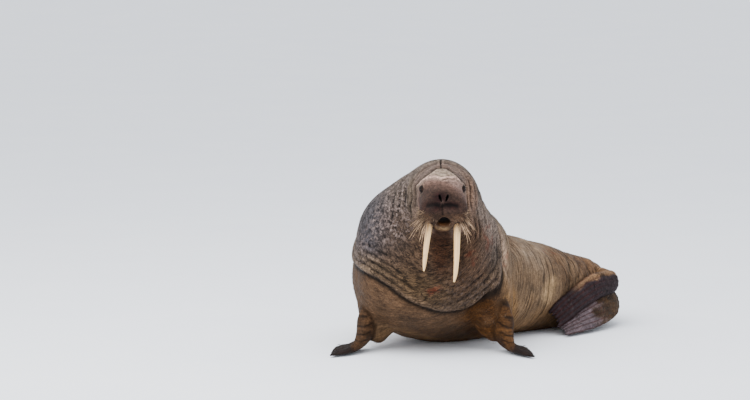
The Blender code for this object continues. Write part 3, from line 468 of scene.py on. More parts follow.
# %%
FRONT_FOLDS = [
    # beside the great fold, on the animal's right and left
    (((352, 258), (370, 267), (388, 279), (402, 289), (418, 298), (434, 304)), 1.5, 7, 5),
    (((353, 251), (371, 261), (390, 273), (406, 284), (420, 292)), 1.2, 5, 4),
    (((354, 245), (372, 254), (390, 265), (404, 275)), 1.1, 4, 3),
    (((355, 239), (374, 248), (390, 257)), 1.0, 3, 3),
    (((455, 310), (466, 303), (478, 294), (490, 284), (499, 274)), 1.6, 8, 6),
    (((458, 301), (470, 293), (482, 283), (492, 273)), 1.3, 5, 4),
    (((462, 292), (473, 283), (484, 273)), 1.1, 4, 3),
    # the crease between neck and flank
    (((496, 221), (500, 236), (503, 252), (507, 268), (512, 284)), 1.3, 8, 7),
    (((504, 232), (509, 246), (514, 262), (518, 280)), 0.9, 4, 3),
    # beside the head
    (((414, 177), (410.8, 186), (412.2, 196), (410, 206), (411, 216)), 1.2, 9, 4),
    (((417.2, 183), (415.2, 190), (416.2, 198), (414.8, 208)), 1.2, 9, 4),
    (((408, 182), (406, 193), (405, 205), (406, 216)), 1.0, 5, 4),
    (((401, 190), (399, 202), (400, 214)), 0.9, 4, 4),
    (((394, 197), (392, 209), (393, 222)), 0.9, 4, 3),
    (((465.4, 184), (466.6, 192), (467.2, 201), (467.8, 210), (470, 222), (471, 236)), 0.9, 6, 4),
    (((468, 178), (470.5, 188), (470, 199), (471.5, 210)), 1.0, 6, 4),
    (((473, 181), (475.5, 192), (476, 204), (478, 214), (480, 228), (480, 242)), 0.9, 6, 4),
    (((480, 188), (483, 200), (484, 212), (486, 226)), 0.9, 5, 4),
    (((488, 206), (491, 218), (493, 232)), 0.8, 4, 4),
    (((474, 216), (476, 228), (475.5, 240)), 0.8, 4, 4),
    # folds of the rump beside the hind flipper
    (((562, 252), (568, 262), (571, 274), (568, 286)), 1.6, 7, 5),
    (((573, 256), (578, 264), (579, 273), (575, 281)), 1.5, 8, 5),
    (((584, 260), (588, 266), (587, 272)), 1.3, 6, 4),
    # the nape's middle crease and the hood's edge over the forehead
    (((441, 158), (440.6, 163), (441.2, 168)), 0.9, 11, 4),
    (((413.5, 191), (416.5, 185.5), (420.5, 180.6), (426, 176.0), (431, 172.0), (436.5, 168.4), (441.3, 167.4),
      (446.5, 168.0), (451, 170.8), (456, 175.2), (461, 180.4), (465, 185), (468, 190)), 1.1, 8, 6),
    # wrinkles above the brow
    (((420, 184.5), (423, 181.5), (428, 179.6), (434, 178.2), (441, 180.4), (448, 178.6), (456, 179.6),
      (462, 184)), 0.8, 4.0, 4.0),
    (((424, 179.5), (430, 176.9), (436, 175.6), (441, 176.8), (447, 175.8), (453, 176.8), (459, 179.8)), 0.7, 2.2, 2.0),
    (((429, 174.4), (434, 172.6), (441, 172.6), (448, 172.8), (453, 174.6)), 0.6, 1.4, 1.4),
    # the nose's lower edge and the groove below it
    (((424, 207), (429, 205.4), (435, 204.6), (442, 206.4), (449, 204.8), (455, 205.4), (461, 207.5)), 2.4, 10, 2),
    (((442.4, 201), (442.6, 210), (443, 217)), 0.8, 6, 0),
]
view_relief = np.zeros(T.shape)
FOLD_SHADE = np.zeros(T.shape)
waver = (1 + 0.25 * noise(BASE * 9.0, 71)) / np.clip(1.5 * np.sqrt(1 - NORMAL[..., 0] ** 2), 0.4, 1.0)
for line, half, depth, lip in FRONT_FOLDS:
    gap, side, where = line_distance(SEEN, line)
    ends = smooth_step(where / 0.12) * smooth_step((1 - where) / 0.12)
    gap = gap * waver
    view_relief += 0.001 * ends * (lip * hill(gap - 2.3 * half, 1.7 * half) - depth * hill(gap, half))
    # How much painted shade each fold gets, by its depth.
    FOLD_SHADE = np.maximum(FOLD_SHADE, ends * hill(gap, half) * min(depth / 7.0, 1.0))
here = np.maximum(1 - smooth_step((EDGE - 0.5) / 0.4), smooth_step((T - 6.0) / 0.6))
relief += view_relief * FACING * here
FOLD_SHADE = FOLD_SHADE * FACING * here
print("drawn folds:", len(FRONT_FOLDS))

# %% [markdown]
# ## Eyes, nose and mouth
# The socket is a shallow bowl with a brow above it and bags below. The lids themselves are separate rings, added later.
# The mouth is a pocket between the whisker pads and the lower lip, painted near-black inside as painted shade.

# %%
eye_side = {}
for sign in (1, -1):
    centre = np.array((sign * EYE_AT[0], EYE_AT[1], EYE_AT[2]))
    look = unit(np.array((sign * EYE_LOOK[0], EYE_LOOK[1], EYE_LOOK[2])))
    flat = unit(np.cross(np.array((0.0, 0.0, 1.0)), look)) * sign
    rise = unit(np.cross(look, flat)) * sign
    q = LOCAL - centre
    a = q @ flat
    b = q @ rise
    ahead = smooth_step((q @ look + 0.05) / 0.03)
    rho = np.hypot(a / 1.2, b)
    relief += ahead * (-0.0070 * hill(rho, 0.021) - 0.007 * hill(rho, 0.010))
    relief += ahead * 0.0085 * hill(b - 0.024 + 6.0 * a * a, 0.009) * hill(a, 0.035)
    relief += ahead * 0.0030 * hill(b + 0.027 - 5.0 * a * a, 0.006) * hill(a, 0.030)
    relief -= ahead * 0.0030 * hill(b + 0.020 - 5.0 * a * a, 0.003) * hill(a, 0.028)
    relief += ahead * 0.0010 * np.cos(rho * 2 * math.pi / 0.0085) * hill(rho - 0.036, 0.014)
    eye_side[sign] = (centre, look, flat, rise)

r, f, u = LOCAL[..., 0], LOCAL[..., 1], LOCAL[..., 2]
wide = np.abs(r)
MOUTH_UP = -0.187
head_zone = (T <= 0.0) & (f > -0.05)
front_face = smooth_step((f - 0.10) / 0.05) * head_zone
mouth = smooth_step(1.75 - 1.25 * np.hypot(r / 0.036, (u - MOUTH_UP + 9.0 * r * r - 0.009) / 0.024))
relief -= 0.040 * mouth * front_face
over_tusk = hill(wide - 0.084, 0.032) * smooth_step((-0.160 - u) / 0.05) * smooth_step((f - 0.04) / 0.05) * head_zone
relief -= 0.022 * over_tusk
relief += 0.007 * hill(r, 0.045) * hill(u - MOUTH_UP + 0.040, 0.016) * smooth_step((f - 0.04) / 0.04) * head_zone
pads = hill(wide - 0.070, 0.055) * hill(u + 0.125, 0.070) * front_face
pad_far, pad_mark = cells(LOCAL * 95.0, 81)
relief += 0.0012 * pads * smooth_step((0.55 - pad_far) / 0.4)
nose_rim = np.zeros(T.shape)
for sign in (1, -1):
    d = np.hypot(r + 0.005 - sign * (0.0210 + 0.30 * (u + 0.028)), (u + 0.028) / 2.8)
    nose_rim += hill(d - 0.009, 0.0045)
relief += 0.003 * nose_rim * front_face
muzzle_zone = smooth_step((f - 0.02) / 0.06) * head_zone
relief += 0.0010 * muzzle_zone * layered(LOCAL * 38.0, 2, 91)
for sign in (1, -1):
    hole, _, _ = body_points(np.array([0.30]), np.array([math.pi / 2]), np.array([sign * 0.50 * math.pi]))
    d = np.linalg.norm(BASE - hole[0], axis=-1)
    relief += -0.011 * hill(d, 0.0075) + 0.0035 * hill(d - 0.017, 0.007) + 0.001 * hill(d, 0.04) * np.cos(d * 900)
head_skin = (T < 0.8) * (1 - muzzle_zone)
relief += 0.0020 * head_skin * valleys(LOCAL * np.array((9.0, 48.0, 26.0)), 0.16, 95)
relief += 0.0016 * head_skin * valleys(LOCAL * np.array((15.0, 90.0, 48.0)), 0.2, 97)
relief = relief * smooth_step(BASE[..., 2] / 0.03 + 0.1)
print("whole relief from", round(float(relief.min()) * 1000, 1), "to", round(float(relief.max()) * 1000, 1), "mm")

SKIN = BASE + NORMAL * relief[..., None]
SKIN[..., 2] = np.maximum(SKIN[..., 2], 0.0)


def blurred(field, reach):
    """Mean over a square of the grid, wrapped around and held at the ends."""
    total = np.zeros(field.shape)
    for k in range(-reach, reach + 1):
        total = total + np.roll(field, k, 1)
    total = total / (2 * reach + 1)
    padded = np.concatenate([np.repeat(total[:1], reach, 0), total, np.repeat(total[-1:], reach, 0)])
    out = np.zeros(field.shape)
    for k in range(2 * reach + 1):
        out = out + padded[k:k + len(field)]
    return out / (2 * reach + 1)


HOLLOW = np.clip((blurred(relief, 3) - relief) * 170.0, -1, 1)

# %% [markdown]
# ## Colour of the hide
# A tint is worked out for every point: grey-brown on the neck and shoulders, cinnamon on the flanks, pale on the
# forehead and dark on the muzzle's front, with painted shade in every crease and under the chest. The material adds the
# finer variation on top, so the tint only has to carry the broad patches.

# %%
LIGHTNESS = 0.38
RICHNESS = 1.28


def srgb(*c):
    """Linear light from display values out of 255."""
    c = np.array(c, float) / 255.0
    return np.where(c <= 0.04045, c / 12.92, ((c + 0.055) / 1.055) ** 2.4)


def hide_colour(*c):
    """A hide's share of light given back: richer than the display value, and darker."""
    c = srgb(*c)
    grey = c.mean()
    return np.clip(LIGHTNESS * (grey + (c - grey) * RICHNESS), 0.002, 1)


def patch(e, cx, cy, rx, ry, turn=0.0, edge=0.35):
    """One inside a turned ellipse of the front elevation, fading over its edge."""
    a = math.radians(turn)
    x = (e[..., 0] - cx) * math.cos(a) + (e[..., 1] - cy) * math.sin(a)
    y = -(e[..., 0] - cx) * math.sin(a) + (e[..., 1] - cy) * math.cos(a)
    d = np.hypot(x / rx, y / ry)
    return smooth_step((1 + edge - d) / (2 * edge))


def lay(tint, colour, amount):
    """Blend a colour over the tint."""
    return tint + (colour - tint) * np.clip(amount, 0, 1)[..., None]


BLOT = layered(BASE * 3.0, 3, 101)
FINE = layered(BASE * 11.0, 3, 103)
BACK_SIDE = smooth_step((np.cos(W) + 0.05) / 0.5)
NECK = 1 - smooth_step((EDGE + 0.08 + 0.10 * BLOT + 0.3 * BACK_SIDE) / (0.20 + 1.5 * BACK_SIDE))
height = BASE[..., 2]
TINT = np.broadcast_to(hide_colour(154, 131, 109), T.shape + (3,)).copy()
TINT = lay(TINT, hide_colour(130, 104, 84), smooth_step((np.cos(W) - 0.25 + 0.2 * BLOT) / 0.7) * 0.85)
TINT = lay(TINT, hide_colour(124, 97, 74), smooth_step(layered(BASE * 2.2, 2, 107) * 0.9 + 0.1) * 0.35)
TINT = lay(TINT, hide_colour(140, 108, 78), smooth_step((0.22 - height + 0.06 * BLOT) / 0.16) * 0.6)
TINT = lay(TINT, hide_colour(132, 104, 84), smooth_step((T - 7.2 + 0.6 * BLOT) / 1.0) * 0.8)
# Darker brown under the chest and between the fore flippers: partly the hide's own brown, partly painted shade.
brisket = (1 - smooth_step((EDGE - 1.2) / 0.5)) * smooth_step((-np.cos(W) - 0.1) / 0.4)
TINT = lay(TINT, hide_colour(98, 76, 60), brisket * 0.9)
TINT = lay(TINT, hide_colour(124, 112, 103), NECK)
# Darker on the lower side of the neck: partly the hide's own brown, partly painted shade.
chest = NECK * smooth_step((-np.cos(W) - 0.02 + 0.35 * BLOT) / 0.6)
TINT = lay(TINT, hide_colour(104, 85, 71), chest)
TINT = lay(TINT, hide_colour(110, 93, 79), NECK * hill(EDGE + 0.22, 0.24) * (1 - BACK_SIDE) * 0.6)
LEFT_LIT = NECK * FACING
PATCHES = (
    # Bluish grey on the left of the neck: partly the hide's own grey, partly a painted sheen of sky light.
    ((90, 90, 97), (372, 226, 18, 40, 12, 0.6), 0.75),
    ((96, 84, 78), (394, 225, 18, 36, 8, 0.6), 0.6),
    ((126, 108, 88), (368, 264, 22, 10, 30, 0.6), 0.5),
    ((98, 80, 60), (420, 288, 30, 14, 20, 0.6), 0.6),
    ((82, 56, 42), (441, 246, 11, 28, 0, 0.5), 0.9),
    ((92, 70, 56), (462, 262, 14, 26, 0, 0.6), 0.6),
    ((134, 108, 92), (480, 240, 12, 34, 8, 0.6), 0.6),
    ((182, 164, 152), (487, 221, 6, 22, -24, 0.7), 0.85),
)
for tone, spot, amount in PATCHES:
    TINT = lay(TINT, hide_colour(*tone), LEFT_LIT * patch(SEEN, *spot) * amount)
BODY_LIT = (1 - NECK) * FACING
BROKEN = 0.45 + 0.55 * smooth_step(layered(BASE * 17.0, 3, 109) * 0.7 + 0.5)
BODY_PATCHES = (
    ((92, 60, 22), (486, 316, 24, 30, -20, 0.5), 0.9),
    ((170, 134, 98), (511, 303, 7, 20, 0, 0.6), 0.8),
    ((188, 168, 148), (527, 248, 14, 22, -35, 0.6), 0.7),
    ((166, 136, 108), (528, 302, 10, 10, 0, 0.6), 0.7),
    ((102, 76, 58), (558, 266, 7, 15, -15, 0.7), 0.7),
    ((222, 188, 150), (550, 290, 6, 14, 18, 0.4), 0.9),
    ((98, 72, 52), (566, 284, 9, 14, 25, 0.7), 0.8),
    ((150, 118, 92), (590, 266, 14, 5, 30, 0.6), 0.6),
)
for tone, spot, amount in BODY_PATCHES:
    TINT = lay(TINT, hide_colour(*tone), BODY_LIT * patch(SEEN, *spot) * amount * BROKEN)
TINT = lay(TINT, hide_colour(228, 200, 178), FACING * hill(EDGE - 0.12, 0.30) * patch(SEEN, 503.5, 250, 3.6, 24, -14, 0.6) * 0.85)
print("mean tint of the trunk", TINT.mean((0, 1)).round(3))

# %% [markdown]
# ## Markings of the face
# The forehead and the wavy line above the eyes are pale. From there the face darkens to a nearly black nose, with a
# painted shadow band under its overhang, brown whisker pads and a light lower lip.

# %%
on_head = 1 - smooth_step((T - 0.30) / 0.35)
TINT = lay(TINT, hide_colour(126, 108, 98), on_head * 0.9)
X_SEEN, Y_SEEN = SEEN[..., 0], SEEN[..., 1]
hood_line = np.interp(X_SEEN, (412, 416.5, 420.5, 426, 431, 436.5, 441.3, 446.5, 451, 456, 461, 465, 469),
                      (196, 185.5, 180.6, 176, 172, 168.4, 167.4, 168, 170.8, 175.2, 180.4, 185, 194))
brow_line = np.interp(X_SEEN, (412, 419, 424, 430, 435, 441, 447, 452, 458, 464, 470),
                      (190, 184.5, 181.0, 179.2, 178.4, 180.6, 178.8, 179.0, 181.0, 185.0, 190))
faces_us = FACING * (T < 0.7) * (height > 0.7)
above_hood = hood_line - Y_SEEN + 0.5 * FINE
hood_shade = smooth_step((above_hood + 0.5) / 1.5) * (1 - smooth_step((above_hood - 4.0) / 3.5))
hood_shade = hood_shade * smooth_step((np.abs(X_SEEN - 441.3) - 4.0) / 5.0) * (T < 1.4) * FACING * (height > 0.7)
TINT = lay(TINT, hide_colour(96, 86, 78), hood_shade * 0.75)
inside_hood = faces_us * smooth_step((Y_SEEN - hood_line + 0.5 * FINE + 0.6) / 2.2)
TINT = lay(TINT, hide_colour(166, 149, 134), inside_hood * (1 - smooth_step((Y_SEEN - brow_line) / 4.0)) * 0.9)
TINT = lay(TINT, hide_colour(184, 166, 150), inside_hood * patch(SEEN, 442, 175, 12, 6.0, 0, 0.9) * 0.7)
TINT = lay(TINT, hide_colour(228, 196, 182), inside_hood * hill(Y_SEEN - brow_line + 1.2 + 0.3 * FINE, 1.5) * 0.9)
# Painted highlight on the rolled lip of the hood, just above its edge.
TINT = lay(TINT, hide_colour(150, 130, 122), faces_us * hill(Y_SEEN - hood_line + 2.9, 1.6) * 0.5)
snout_zone = smooth_step((f + 0.045 + 0.02 * FINE) / 0.14) * head_zone
below = (T < 0.7) * (Y_SEEN - brow_line)
snout = snout_zone * smooth_step((below + 0.5 * FINE) / 1.6)
TINT = lay(TINT, hide_colour(172, 146, 136), snout * 0.95)
for tone, start, reach in (((138, 112, 102), 179.4, 2.5), ((92, 73, 65), 181.2, 4.5), ((62, 48, 42), 185.6, 6.0)):
    lower = Y_SEEN - start + 0.7 * FINE - 0.014 * (X_SEEN - 435) ** 2
    TINT = lay(TINT, hide_colour(*tone), snout_zone**1.5 * smooth_step(lower / reach) * 0.9)
TINT = lay(TINT, hide_colour(58, 44, 36), snout_zone**1.5 * smooth_step((-0.105 - u) / 0.03) * 0.9)
# Painted shadow in the band under the nose's overhang, and dark skin round the nostrils.
nose_shadow_and_dark = np.maximum(patch(SEEN, 433.0, 206.2, 9.4, 4.8, 0, 0.9), patch(SEEN, 450.8, 205.4, 7.6, 3.7, 4, 0.9))
nose_shadow_and_dark = np.maximum(nose_shadow_and_dark, patch(SEEN, 440.4, 197.5, 6.8, 5.4, 0, 0.8))
TINT = lay(TINT, hide_colour(40, 20, 8), front_face * np.clip(nose_shadow_and_dark * (1.15 + 0.2 * FINE), 0, 1) * 0.95)
# More painted shadow at the left end of the band under the nose.
TINT = lay(TINT, hide_colour(56, 41, 36), snout_zone * patch(SEEN, 427.5, 207.5, 6.0, 4.5, 0, 0.8) * 0.85)
low_pad = front_face * smooth_step((Y_SEEN - 212.0) / 6.0) * smooth_step((np.abs(X_SEEN - 441.5) - 8.0) / 5.0)
TINT = lay(TINT, hide_colour(104, 82, 68), low_pad * 0.7)
TINT = lay(TINT, hide_colour(104, 84, 76), front_face * patch(SEEN, 442.2, 203.4, 1.5, 3.4, 0, 0.6) * 0.75)
# Painted shade inside the mouth: its pocket is tinted near-black.
TINT = lay(TINT, hide_colour(22, 12, 8), smooth_step(mouth * 1.6) * front_face)
TINT = lay(TINT, hide_colour(110, 72, 48), smooth_step(mouth * 1.6) * front_face * smooth_step((-0.188 - u) / 0.012))
lower_lip = head_zone * hill(r + 0.008, 0.046) * hill(u - MOUTH_UP + 0.041, 0.013) * smooth_step((f - 0.05) / 0.04)
TINT = lay(TINT, hide_colour(150, 126, 100), lower_lip * 0.9)
TINT = lay(TINT, hide_colour(74, 46, 34), head_zone * smooth_step((-0.245 - u) / 0.012) * 0.9)
TINT = lay(TINT, hide_colour(68, 44, 32), FACING * (T < 1.6) * (f < 0.16) * patch(SEEN, 441.5, 236, 10, 7, 0, 0.3) * 0.85)
beside = faces_us * (1 - snout_zone)
TINT = lay(TINT, hide_colour(148, 122, 106), beside * patch(SEEN, 471, 199, 6.5, 20, 0, 0.7) * 0.8)
TINT = lay(TINT, hide_colour(112, 100, 88), beside * patch(SEEN, 410, 196, 5.5, 18, 0, 0.6) * 0.7)
for sign in (1, -1):
    centre, look, flat, rise = eye_side[sign]
    q = LOCAL - centre
    ring = np.hypot((q @ flat) / 0.017, (q @ rise + 0.002) / 0.026)
    ahead = smooth_step((q @ look + 0.05) / 0.03) * (T < 0.7)
    TINT = lay(TINT, hide_colour(150, 130, 114), ahead * hill(ring - 1.45, 0.22) * 0.5)
    # Painted shade of the socket: a dark patch round the eye.
    TINT = lay(TINT, hide_colour(16, 11, 10), ahead * smooth_step((1.45 - ring) / 0.7) * 0.95)

# %% [markdown]
# ## Scars and sores
# Lumps and scuffs on the neck are pale and pinkish: partly pigment they have lost, partly painted highlight on the
# raised lumps. A few open sores are red. Then the tint gets painted shade in creases, hollows and drawn folds and under
# the great fold's edge, and is lightened on raised ridges.

# %%
SORES = ((433, 291, 9, 4, -25), (506.5, 260, 2.0, 9, 10), (548, 251, 9, 2.2, 22), (470, 254, 6, 2.5, -20),
         (488, 236, 5, 14, 0), (474, 262, 3, 5, 10))
# Where the pale flecks go, mostly on the raised lumps of the neck's sides: partly lost pigment, partly painted
# highlight.
FLECK_AND_HIGHLIGHT = NECK * smooth_step((T - 0.5) / 0.5) * np.clip(side_zone, 0, 1) * smooth_step((noise(BASE * 3.6, 111) + 0.7) / 0.8)
FLECK_AND_HIGHLIGHT = np.clip(FLECK_AND_HIGHLIGHT * (0.30 + 0.70 * bosses), 0, 1)
SORE = np.zeros(T.shape)
for cx, cy, rx, ry, turn in SORES:
    SORE = np.maximum(SORE, patch(SEEN, cx, cy, rx, ry, turn, 0.45) * FACING)
SORE = SORE * smooth_step((layered(BASE * 48.0, 2, 121) + 0.15) / 0.6) * (T > 0.9)
TINT = lay(TINT, hide_colour(150, 84, 66), SORE * 0.3)
# Painted shade: the tint is darkened where the skin lies below its surroundings, in creases and hollows, and lightened
# on raised ridges.
CREASE_SHADE_WEIGHT = 1 - 0.6 * rear * trunk + 0.25 * (1 - smooth_step((T - 1.2) / 0.8)) * FACING
TINT = TINT * (1 - 0.70 * CREASE_SHADE_WEIGHT * np.clip(HOLLOW, 0, 1) + 0.42 * CREASE_SHADE_WEIGHT * np.clip(-HOLLOW, 0, 1))[..., None]
# Painted shadow in the crease under the edge of the great fold.
TINT = TINT * (1 - 0.55 * hill(EDGE - 0.03, 0.07) * smooth_step((0.3 - np.cos(W)) / 0.4))[..., None]
# Painted shade along the drawn folds near the head.
TINT = TINT * (1 - 0.45 * FOLD_SHADE * (1 - smooth_step((T - 1.4) / 0.8)))[..., None]
BARE = np.clip(snout_zone * smooth_step((0.06 - u) / 0.04) + 0.2 * NECK, 0, 1)
RINGED = smooth_step(T / 1.1) * (1.0 - 0.5 * NECK)
calm = np.maximum(np.clip(brisket, 0, 1), smooth_step((T - 8.8) / 1.0))
RINGED = RINGED - np.maximum(0.25 * calm, 0.26 * (0.5 - 0.5 * np.sin(W))) * (1 - NECK)
print("mean tint", TINT.mean((0, 1)).round(3))

# %% [markdown]
# ## From arrays to meshes
# Every piece below is a grid of points closed at both ends. One helper turns grids into faces that
# point outward, and another puts points, faces and per-point values into Blender.

# %%
def grid_faces(rows, around):
    """Corner numbers of the quads between neighbouring rings."""
    index = np.arange(rows * around).reshape(rows, around)
    after = np.roll(index, -1, 1)
    return np.stack([index[:-1], after[:-1], after[1:], index[1:]], -1).reshape(-1, 4)


def fan(ring, pole):
    """Triangles from a ring of corner numbers to one pole."""
    after = np.roll(ring, -1)
    return np.stack([ring, after, np.full(len(ring), pole)], -1)


def strip(ring):
    """Faces across a flat ring, from each point to its mirror point."""
    half = len(ring) // 2
    j = np.arange(1, half - 1)
    quads = np.stack([ring[j], ring[j + 1], ring[-j - 1], ring[-j]], -1)
    ends = np.array([[ring[0], ring[1], ring[-1]], [ring[half - 1], ring[half], ring[half + 1]]])
    return quads, ends


def volume(points, faces):
    """Signed volume: a sixth of the sum of triple products of the faces' corners."""
    total = 0.0
    for group in faces:
        a = points[group[:, 0]]
        for n in range(1, group.shape[1] - 1):
            total += (a * np.cross(points[group[:, n]], points[group[:, n + 1]])).sum() / 6
    return total


def shell(grid, first="fan", last="fan", first_pole=None, last_pole=None):
    """Points and outward faces of a grid of rings, closed at each end by a fan or a strip."""
    rows, around = grid.shape[:2]
    points = grid.reshape(-1, 3)
    quads = [grid_faces(rows, around)]
    triangles = []
    for ring, mode, pole, turned in ((np.arange(around), first, first_pole, True),
                                     (np.arange(around) + (rows - 1) * around, last, last_pole, False)):
        if mode == "fan":
            centre = points[ring].mean(0) if pole is None else pole
            points = np.vstack([points, centre])
            extra = fan(ring, len(points) - 1)
            triangles.append(extra[:, ::-1] if turned else extra)
        if mode == "strip":
            across, ends = strip(ring)
            quads.append(across[:, ::-1] if turned else across)
            triangles.append(ends[:, ::-1] if turned else ends)
    faces = [np.vstack(quads)]
    if triangles:
        faces.append(np.vstack(triangles))
    if volume(points, faces) < 0:
        faces = [group[:, ::-1] for group in faces]
    return points, faces


def joined(pieces):
    """One set of points and faces from several."""
    points = []
    faces = {}
    start = 0
    for some, groups in pieces:
        points.append(some)
        for group in groups:
            faces.setdefault(group.shape[1], []).append(group + start)
        start += len(some)
    return np.vstack(points), [np.vstack(groups) for groups in faces.values()]


def write_values(mesh, values):
    """Put per-point arrays on a mesh: one column, three columns or four columns of numbers."""
    kinds = {1: ("FLOAT", "value"), 3: ("FLOAT_VECTOR", "vector"), 4: ("FLOAT_COLOR", "color")}
    for label, array in values.items():
        array = np.asarray(array, np.float32).reshape(len(mesh.vertices), -1)
        kind, field = kinds[array.shape[1]]
        item = mesh.attributes.get(label) or mesh.attributes.new(label, kind, "POINT")
        item.data.foreach_set(field, array.ravel())


def make_piece(name, points, faces, values=None, smooth=True):
    """A Blender object from arrays, in the frame's own place."""
    mesh = bpy.data.meshes.new(name)
    sides = np.concatenate([np.full(len(group), group.shape[1]) for group in faces])
    corners = np.concatenate([group.ravel() for group in faces])
    mesh.vertices.add(len(points))
    mesh.vertices.foreach_set("co", np.asarray(points, np.float32).ravel())
    mesh.loops.add(len(corners))
    mesh.loops.foreach_set("vertex_index", corners.astype(np.int32))
    mesh.polygons.add(len(sides))
    mesh.polygons.foreach_set("loop_start", np.concatenate([[0], np.cumsum(sides)[:-1]]).astype(np.int32))
    mesh.polygons.foreach_set("use_smooth", np.full(len(sides), smooth))
    mesh.update(calc_edges=True)
    mesh.validate()
    write_values(mesh, values or {})
    item = bpy.data.objects.new(name, mesh)
    bpy.context.scene.collection.objects.link(item)
    return item


# %% [markdown]
# ## Flippers
# A flipper is a paddle: rows give its leading and trailing edge and its thickness, and a curve is read
# through them. Five digits show as ridges on its upper face, with webs sunk between them, knuckles
# across them, and a lobe of gristle beyond each nail.

# %%
FORE_LEFT = (
    ((0.430, 0.080, 0.350), (0.320, 0.270, 0.290), 0.055, 0.055),
    ((0.475, -0.005, 0.220), (0.365, 0.200, 0.170), 0.062, 0.058),
    ((0.478, -0.080, 0.120), (0.400, 0.120, 0.088), 0.050, 0.042),
    ((0.495, -0.145, 0.052), (0.440, 0.090, 0.045), 0.036, 0.030),
    ((0.535, -0.205, 0.026), (0.495, 0.075, 0.022), 0.030, 0.018),
    ((0.580, -0.250, 0.020), (0.545, 0.060, 0.018), 0.022, 0.014),
    ((0.612, -0.282, 0.016), (0.580, 0.045, 0.014), 0.014, 0.010),
    ((0.632, -0.302, 0.012), (0.596, 0.038, 0.010), 0.006, 0.006),
)
FORE_RIGHT = (
    ((-0.380, 0.110, 0.350), (-0.290, 0.300, 0.290), 0.055, 0.055),
    ((-0.425, 0.020, 0.220), (-0.345, 0.235, 0.170), 0.062, 0.058),
    ((-0.440, -0.060, 0.120), (-0.385, 0.155, 0.088), 0.050, 0.042),
    ((-0.470, -0.120, 0.052), (-0.430, 0.130, 0.045), 0.036, 0.030),
    ((-0.520, -0.175, 0.026), (-0.495, 0.120, 0.022), 0.030, 0.018),
    ((-0.575, -0.212, 0.020), (-0.550, 0.110, 0.018), 0.022, 0.014),
    ((-0.612, -0.236, 0.016), (-0.585, 0.098, 0.014), 0.014, 0.010),
    ((-0.634, -0.250, 0.012), (-0.603, 0.092, 0.010), 0.006, 0.006),
)
HIND_LEFT = (
    ((0.985, 1.324, 0.330), (0.985, 1.316, 0.190), 0.055, 0.045),
    ((1.075, 1.294, 0.356), (1.080, 1.282, 0.196), 0.066, 0.050),
    ((1.135, 1.241, 0.343), (1.145, 1.222, 0.196), 0.068, 0.048),
    ((1.130, 1.170, 0.345), (1.150, 1.140, 0.198), 0.060, 0.045),
    ((1.035, 1.050, 0.343), (1.080, 1.005, 0.190), 0.042, 0.036),
    ((0.940, 0.934, 0.296), (0.993, 0.884, 0.155), 0.032, 0.030),
    ((0.855, 0.832, 0.242), (0.915, 0.776, 0.111), 0.026, 0.024),
    ((0.785, 0.757, 0.189), (0.850, 0.690, 0.074), 0.018, 0.018),
    ((0.735, 0.709, 0.142), (0.800, 0.634, 0.052), 0.007, 0.007),
)
HIND_RIGHT = (
    ((1.000, 1.335, 0.205), (1.000, 1.324, 0.055), 0.045, 0.040),
    ((1.090, 1.305, 0.215), (1.100, 1.290, 0.058), 0.052, 0.042),
    ((1.148, 1.245, 0.216), (1.165, 1.219, 0.058), 0.055, 0.042),
    ((1.145, 1.162, 0.212), (1.175, 1.121, 0.055), 0.050, 0.040),
    ((1.085, 1.045, 0.198), (1.135, 0.975, 0.042), 0.036, 0.030),
    ((1.002, 0.930, 0.160), (1.060, 0.832, 0.032), 0.028, 0.022),
    ((0.916, 0.826, 0.120), (0.975, 0.720, 0.024), 0.022, 0.017),
    ((0.846, 0.748, 0.085), (0.900, 0.634, 0.018), 0.015, 0.012),
    ((0.792, 0.695, 0.055), (0.845, 0.578, 0.014), 0.006, 0.006),
)
TAIL = (
    ((1.048, 1.510, 0.138), (1.123, 1.434, 0.138), 0.034, 0.034),
    ((1.074, 1.538, 0.124), (1.145, 1.468, 0.124), 0.030, 0.030),
    ((1.095, 1.560, 0.110), (1.159, 1.496, 0.110), 0.024, 0.024),
    ((1.111, 1.572, 0.100), (1.160, 1.522, 0.100), 0.012, 0.012),
)


class Paddle:
    """A flipper's surface as a function of row number and of the place across it."""

    def __init__(self, rows, sign, digits, ridge, scallop, fork=0.0):
        self.lead = np.array([row[0] for row in rows])
        self.trail = np.array([row[1] for row in rows])
        self.upper = np.array([row[2] for row in rows])[:, None]
        self.under = np.array([row[3] for row in rows])[:, None]
        along = np.gradient((self.lead + self.trail) / 2, axis=0)
        self.normal = unit(np.cross(self.lead - self.trail, along)) * sign
        self.last = len(rows) - 1
        self.digits = digits
        self.ridge = ridge
        self.scallop = scallop
        self.fork = fork

    def at(self, u, v, h):
        """Middle of the edges, plus v half widths across, plus the thickness along the normal times
        h to the power three quarters, less the digits' wave, pulled back between the lobes and in the
        middle of a forked end."""
        lead = spline(self.lead, u)
        trail = spline(self.trail, u)
        normal = unit(spline(self.normal, u))
        step = unit(spline((self.lead + self.trail) / 2, np.minimum(u + 0.05, self.last))
                    - spline((self.lead + self.trail) / 2, np.minimum(u, self.last - 0.05)))
        share = u / self.last
        wave = np.cos(math.pi * self.digits * (v + 1.0))
        rise = np.where(h > 0, spline(self.upper, u)[..., 0], spline(self.under, u)[..., 0])
        rise = rise * np.sign(h) * np.abs(h) ** 0.75
        rise = rise * np.where(h > 0, 1.0 - self.ridge * share**2 * wave, 1.0)
        knuckle = np.cos(share * 26.0) * 0.10 * smooth_step(share * 2 - 0.7)
        rise = rise * np.where(h > 0, 1 + knuckle * (0.5 - 0.5 * wave), 1.0)
        point = (lead + trail) / 2 + (lead - trail) / 2 * v[..., None] + normal * rise[..., None]
        back = (self.scallop * (0.5 + 0.5 * wave) + self.fork * (1 - v**2)) * np.clip((u - self.last + 3) / 3, 0, 1)
        point = point - step * back[..., None]
        return point, normal, step, wave


